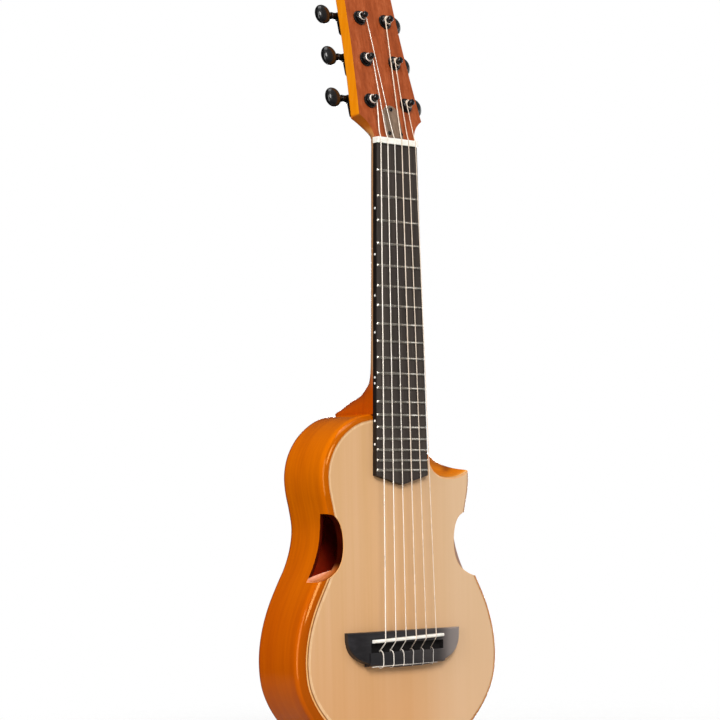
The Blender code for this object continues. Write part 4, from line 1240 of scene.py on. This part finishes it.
# ---- strings ------------------------------------------------------------
def build_string(i):
    side, px, pu = tuner_place(i)
    xs, xn, r = saddle_x(i), nut_x(i), STRING_D[i] / 2
    zs = saddle_z(xs)
    big = POST_R + 0.12 + r
    inner = px - side * big
    over = -7.05 - r
    reach = head_point(inner, -5.6, pu - 0.2)
    rest = -1.12 - 0.32 - r + 0.1
    corners = [V(xs, 0.6, -460.2), V(xs, 0.6, -446.3), V(xs, 0.35, -445.4), V(xs, over + 0.25, zs - 1.6), V(xs, over, zs + 0.4)]
    route = rounded(corners, 5, 0.28)
    low, high = V(xs, over, zs + 0.4), V(xn, rest, 0.6)
    route = route[:-1] + [low.lerp(high, k / 24) for k in range(25)]
    route += rounded([V(xn, rest, 2.0), V(xn, rest + 0.02, 4.8), head_point(xn + (inner - xn) * 0.08, -3.6, 4.0), reach], 5, 0.35)
    keys = ("nylon",) if i < 3 else ("wound",)
    piece(tube(f"course_{i + 1}", route, r, 10), keys, (f"string_{i + 1}",), smooth=60)

    # tie: out behind the block, over its top, round the string in front, and a tail along the back edge
    top = TOP_Y - 0.3 - TIE_H - r
    lean = 0.9 if i >= 3 else -1.6
    loop = [V(xs, 0.6, -459.6), V(xs - 0.1, -0.6, -460.0), V(xs + lean * 0.4, top + 0.9, -458.9), V(xs + lean * 0.5, top, -457.2),
            V(xs + lean * 0.55, top, -452.0), V(xs + lean * 0.2, top, -447.2), V(xs - 0.6, top + 0.9, -445.4),
            V(xs - 1.5, -1.9, -444.6), V(xs - 1.1, -0.5, -444.9), V(xs + 0.2, 0.2 + 2 * r, -445.3)]
    tail = [V(xs + 5.0, top + 1.35, -457.75 - r), V(xs + 1.5, top + 0.95, -457.7 - r), V(xs - 4.0, top + 1.0, -457.8 - r),
            V(xs - 9.0, top + 1.1, -457.8 - r), V(xs - 11.8, top + 1.5, -458.1 - r)]
    parts = [tube("t", rounded(loop, 5, 0.45), r * 0.92, 8), tube("t", rounded(tail, 4, 0.4), r * 0.9, 8)]
    piece(joined(f"tie_{i + 1}", parts), keys, smooth=60)


# ---- stage --------------------------------------------------------------
def build_stage():
    floor_z = cad_box[0].z - 0.0008
    rings, n = (0.0, 0.15, 0.3, 0.5, 0.72), 96
    mesh = bpy.data.meshes.new("floor")
    verts = [(0.0, 0.0, floor_z)] + [(r * c, r * s, floor_z) for r in rings[1:] for c, s in circle(n)]
    faces = [(0, k + 1, (k + 1) % n + 1) for k in range(n)]
    for q in range(len(rings) - 2):
        faces += [(1 + q * n + k, 1 + (q + 1) * n + k, 1 + (q + 1) * n + (k + 1) % n, 1 + q * n + (k + 1) % n) for k in range(n)]
    mesh.from_pydata(verts, [], faces)
    floor = bpy.data.objects.new("floor", mesh)
    bpy.context.scene.collection.objects.link(floor)
    f = Finish("floor_paper", Roughness=0.9, Specular_IOR_Level=0.1)
    tone = f.noise(f.mapped((30, 30, 30)), 1.0, 4.0)
    f.colour(f.ramp(tone, ((0.3, "FAFAF8"), (0.7, "FFFFFF"))))
    f.bump(f.noise(f.mapped((600, 600, 600)), 1.0, 3.0), 0.00002)
    # the paper fades into the white room around it
    away = f.add("ShaderNodeVectorMath", operation="LENGTH")
    f.put(away.inputs[0], f.mapped((1, 1, 0)))
    f.put(f.shader.inputs["Alpha"], f.span(away.outputs["Value"], 0.15, 0.7, 0.35, 0.0, True))
    mesh.materials.append(f.material)

    world = bpy.data.worlds.new("studio")
    bpy.context.scene.world = world
    world.use_nodes = True
    tree = world.node_tree
    tree.nodes.clear()
    out = tree.nodes.new("ShaderNodeOutputWorld")
    mix = tree.nodes.new("ShaderNodeMixShader")
    path = tree.nodes.new("ShaderNodeLightPath")
    fill = tree.nodes.new("ShaderNodeBackground")
    seen = tree.nodes.new("ShaderNodeBackground")
    # the room is light in front of the object, and dim behind it and below
    place = tree.nodes.new("ShaderNodeTexCoord")
    split = tree.nodes.new("ShaderNodeSeparateXYZ")
    room = tree.nodes.new("ShaderNodeMapRange")
    room.inputs["From Min"].default_value, room.inputs["From Max"].default_value = -0.3, 0.5
    room.inputs["To Min"].default_value, room.inputs["To Max"].default_value = 0.30, 0.04
    tree.links.new(place.outputs["Generated"], split.inputs[0])
    tree.links.new(split.outputs["Y"], room.inputs["Value"])
    below = tree.nodes.new("ShaderNodeMapRange")
    below.inputs["From Min"].default_value, below.inputs["From Max"].default_value = -0.5, 0.0
    below.inputs["To Min"].default_value, below.inputs["To Max"].default_value = 0.3, 1.0
    both = tree.nodes.new("ShaderNodeMath")
    both.operation = "MULTIPLY"
    tree.links.new(split.outputs["Z"], below.inputs["Value"])
    tree.links.new(room.outputs["Result"], both.inputs[0])
    tree.links.new(below.outputs["Result"], both.inputs[1])
    tree.links.new(both.outputs[0], fill.inputs["Strength"])
    fill.inputs["Color"].default_value = (1.0, 0.98, 0.95, 1)
    seen.inputs["Color"].default_value = (1, 1, 1, 1)
    seen.inputs["Strength"].default_value = 1.0
    tree.links.new(path.outputs["Is Camera Ray"], mix.inputs[0])
    tree.links.new(fill.outputs[0], mix.inputs[1])
    tree.links.new(seen.outputs[0], mix.inputs[2])
    tree.links.new(mix.outputs[0], out.inputs["Surface"])

    def area(name, place, aim, size, power, colour=(1, 1, 1), tall=None):
        data = bpy.data.lights.new(name, "AREA")
        data.shape, data.size, data.size_y = "RECTANGLE", size, tall or size
        data.energy, data.color = power, colour
        light = bpy.data.objects.new(name, data)
        bpy.context.scene.collection.objects.link(light)
        light.location = place
        light.rotation_mode = "QUATERNION"
        light.rotation_quaternion = (Vector(aim) - Vector(place)).to_track_quat("-Z", "Y")

    middle = (0.0, 0.0, -0.25)
    area("softbox_left", (-2.35, -0.6, 0.0), middle, 0.8, 33, (1.0, 0.99, 0.97), 2.4)
    area("softbox_key", (-1.3, -2.3, 1.3), middle, 1.3, 76, (1.0, 0.985, 0.96))
    area("softbox_right", (2.5, -1.7, 0.1), middle, 0.6, 7, (1.0, 1.0, 1.0), 1.2)
    area("softbox_side", (2.6, 0.25, -0.2), middle, 1.0, 14, (1.0, 1.0, 1.0), 2.2)
    area("overhead", (-0.1, -0.2, 2.4), middle, 1.4, 20, (1.0, 1.0, 1.0))
    area("behind", (2.0, 1.95, -0.35), middle, 1.2, 40, (1.0, 1.0, 1.0))

    scene = bpy.context.scene
    scene.view_settings.view_transform = "Standard"
    scene.view_settings.look = "None"


def build_inner():
    """CAD pieces that stay as they are and only take a finish."""
    for node, key in (("neck_block", "raw_wood"), ("tail_block", "raw_wood"), ("bridge_plate", "raw_wood"), ("truss_rod", "steel")):
        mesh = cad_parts[node].data
        for k in range(len(mesh.materials)):
            mesh.materials[k] = FINISH[key]


build_body()
build_neck()
build_cover()
build_board()
build_nut()
build_bridge()
for number in range(6):
    build_tuner(number)
    build_string(number)
build_inner()
build_stage()
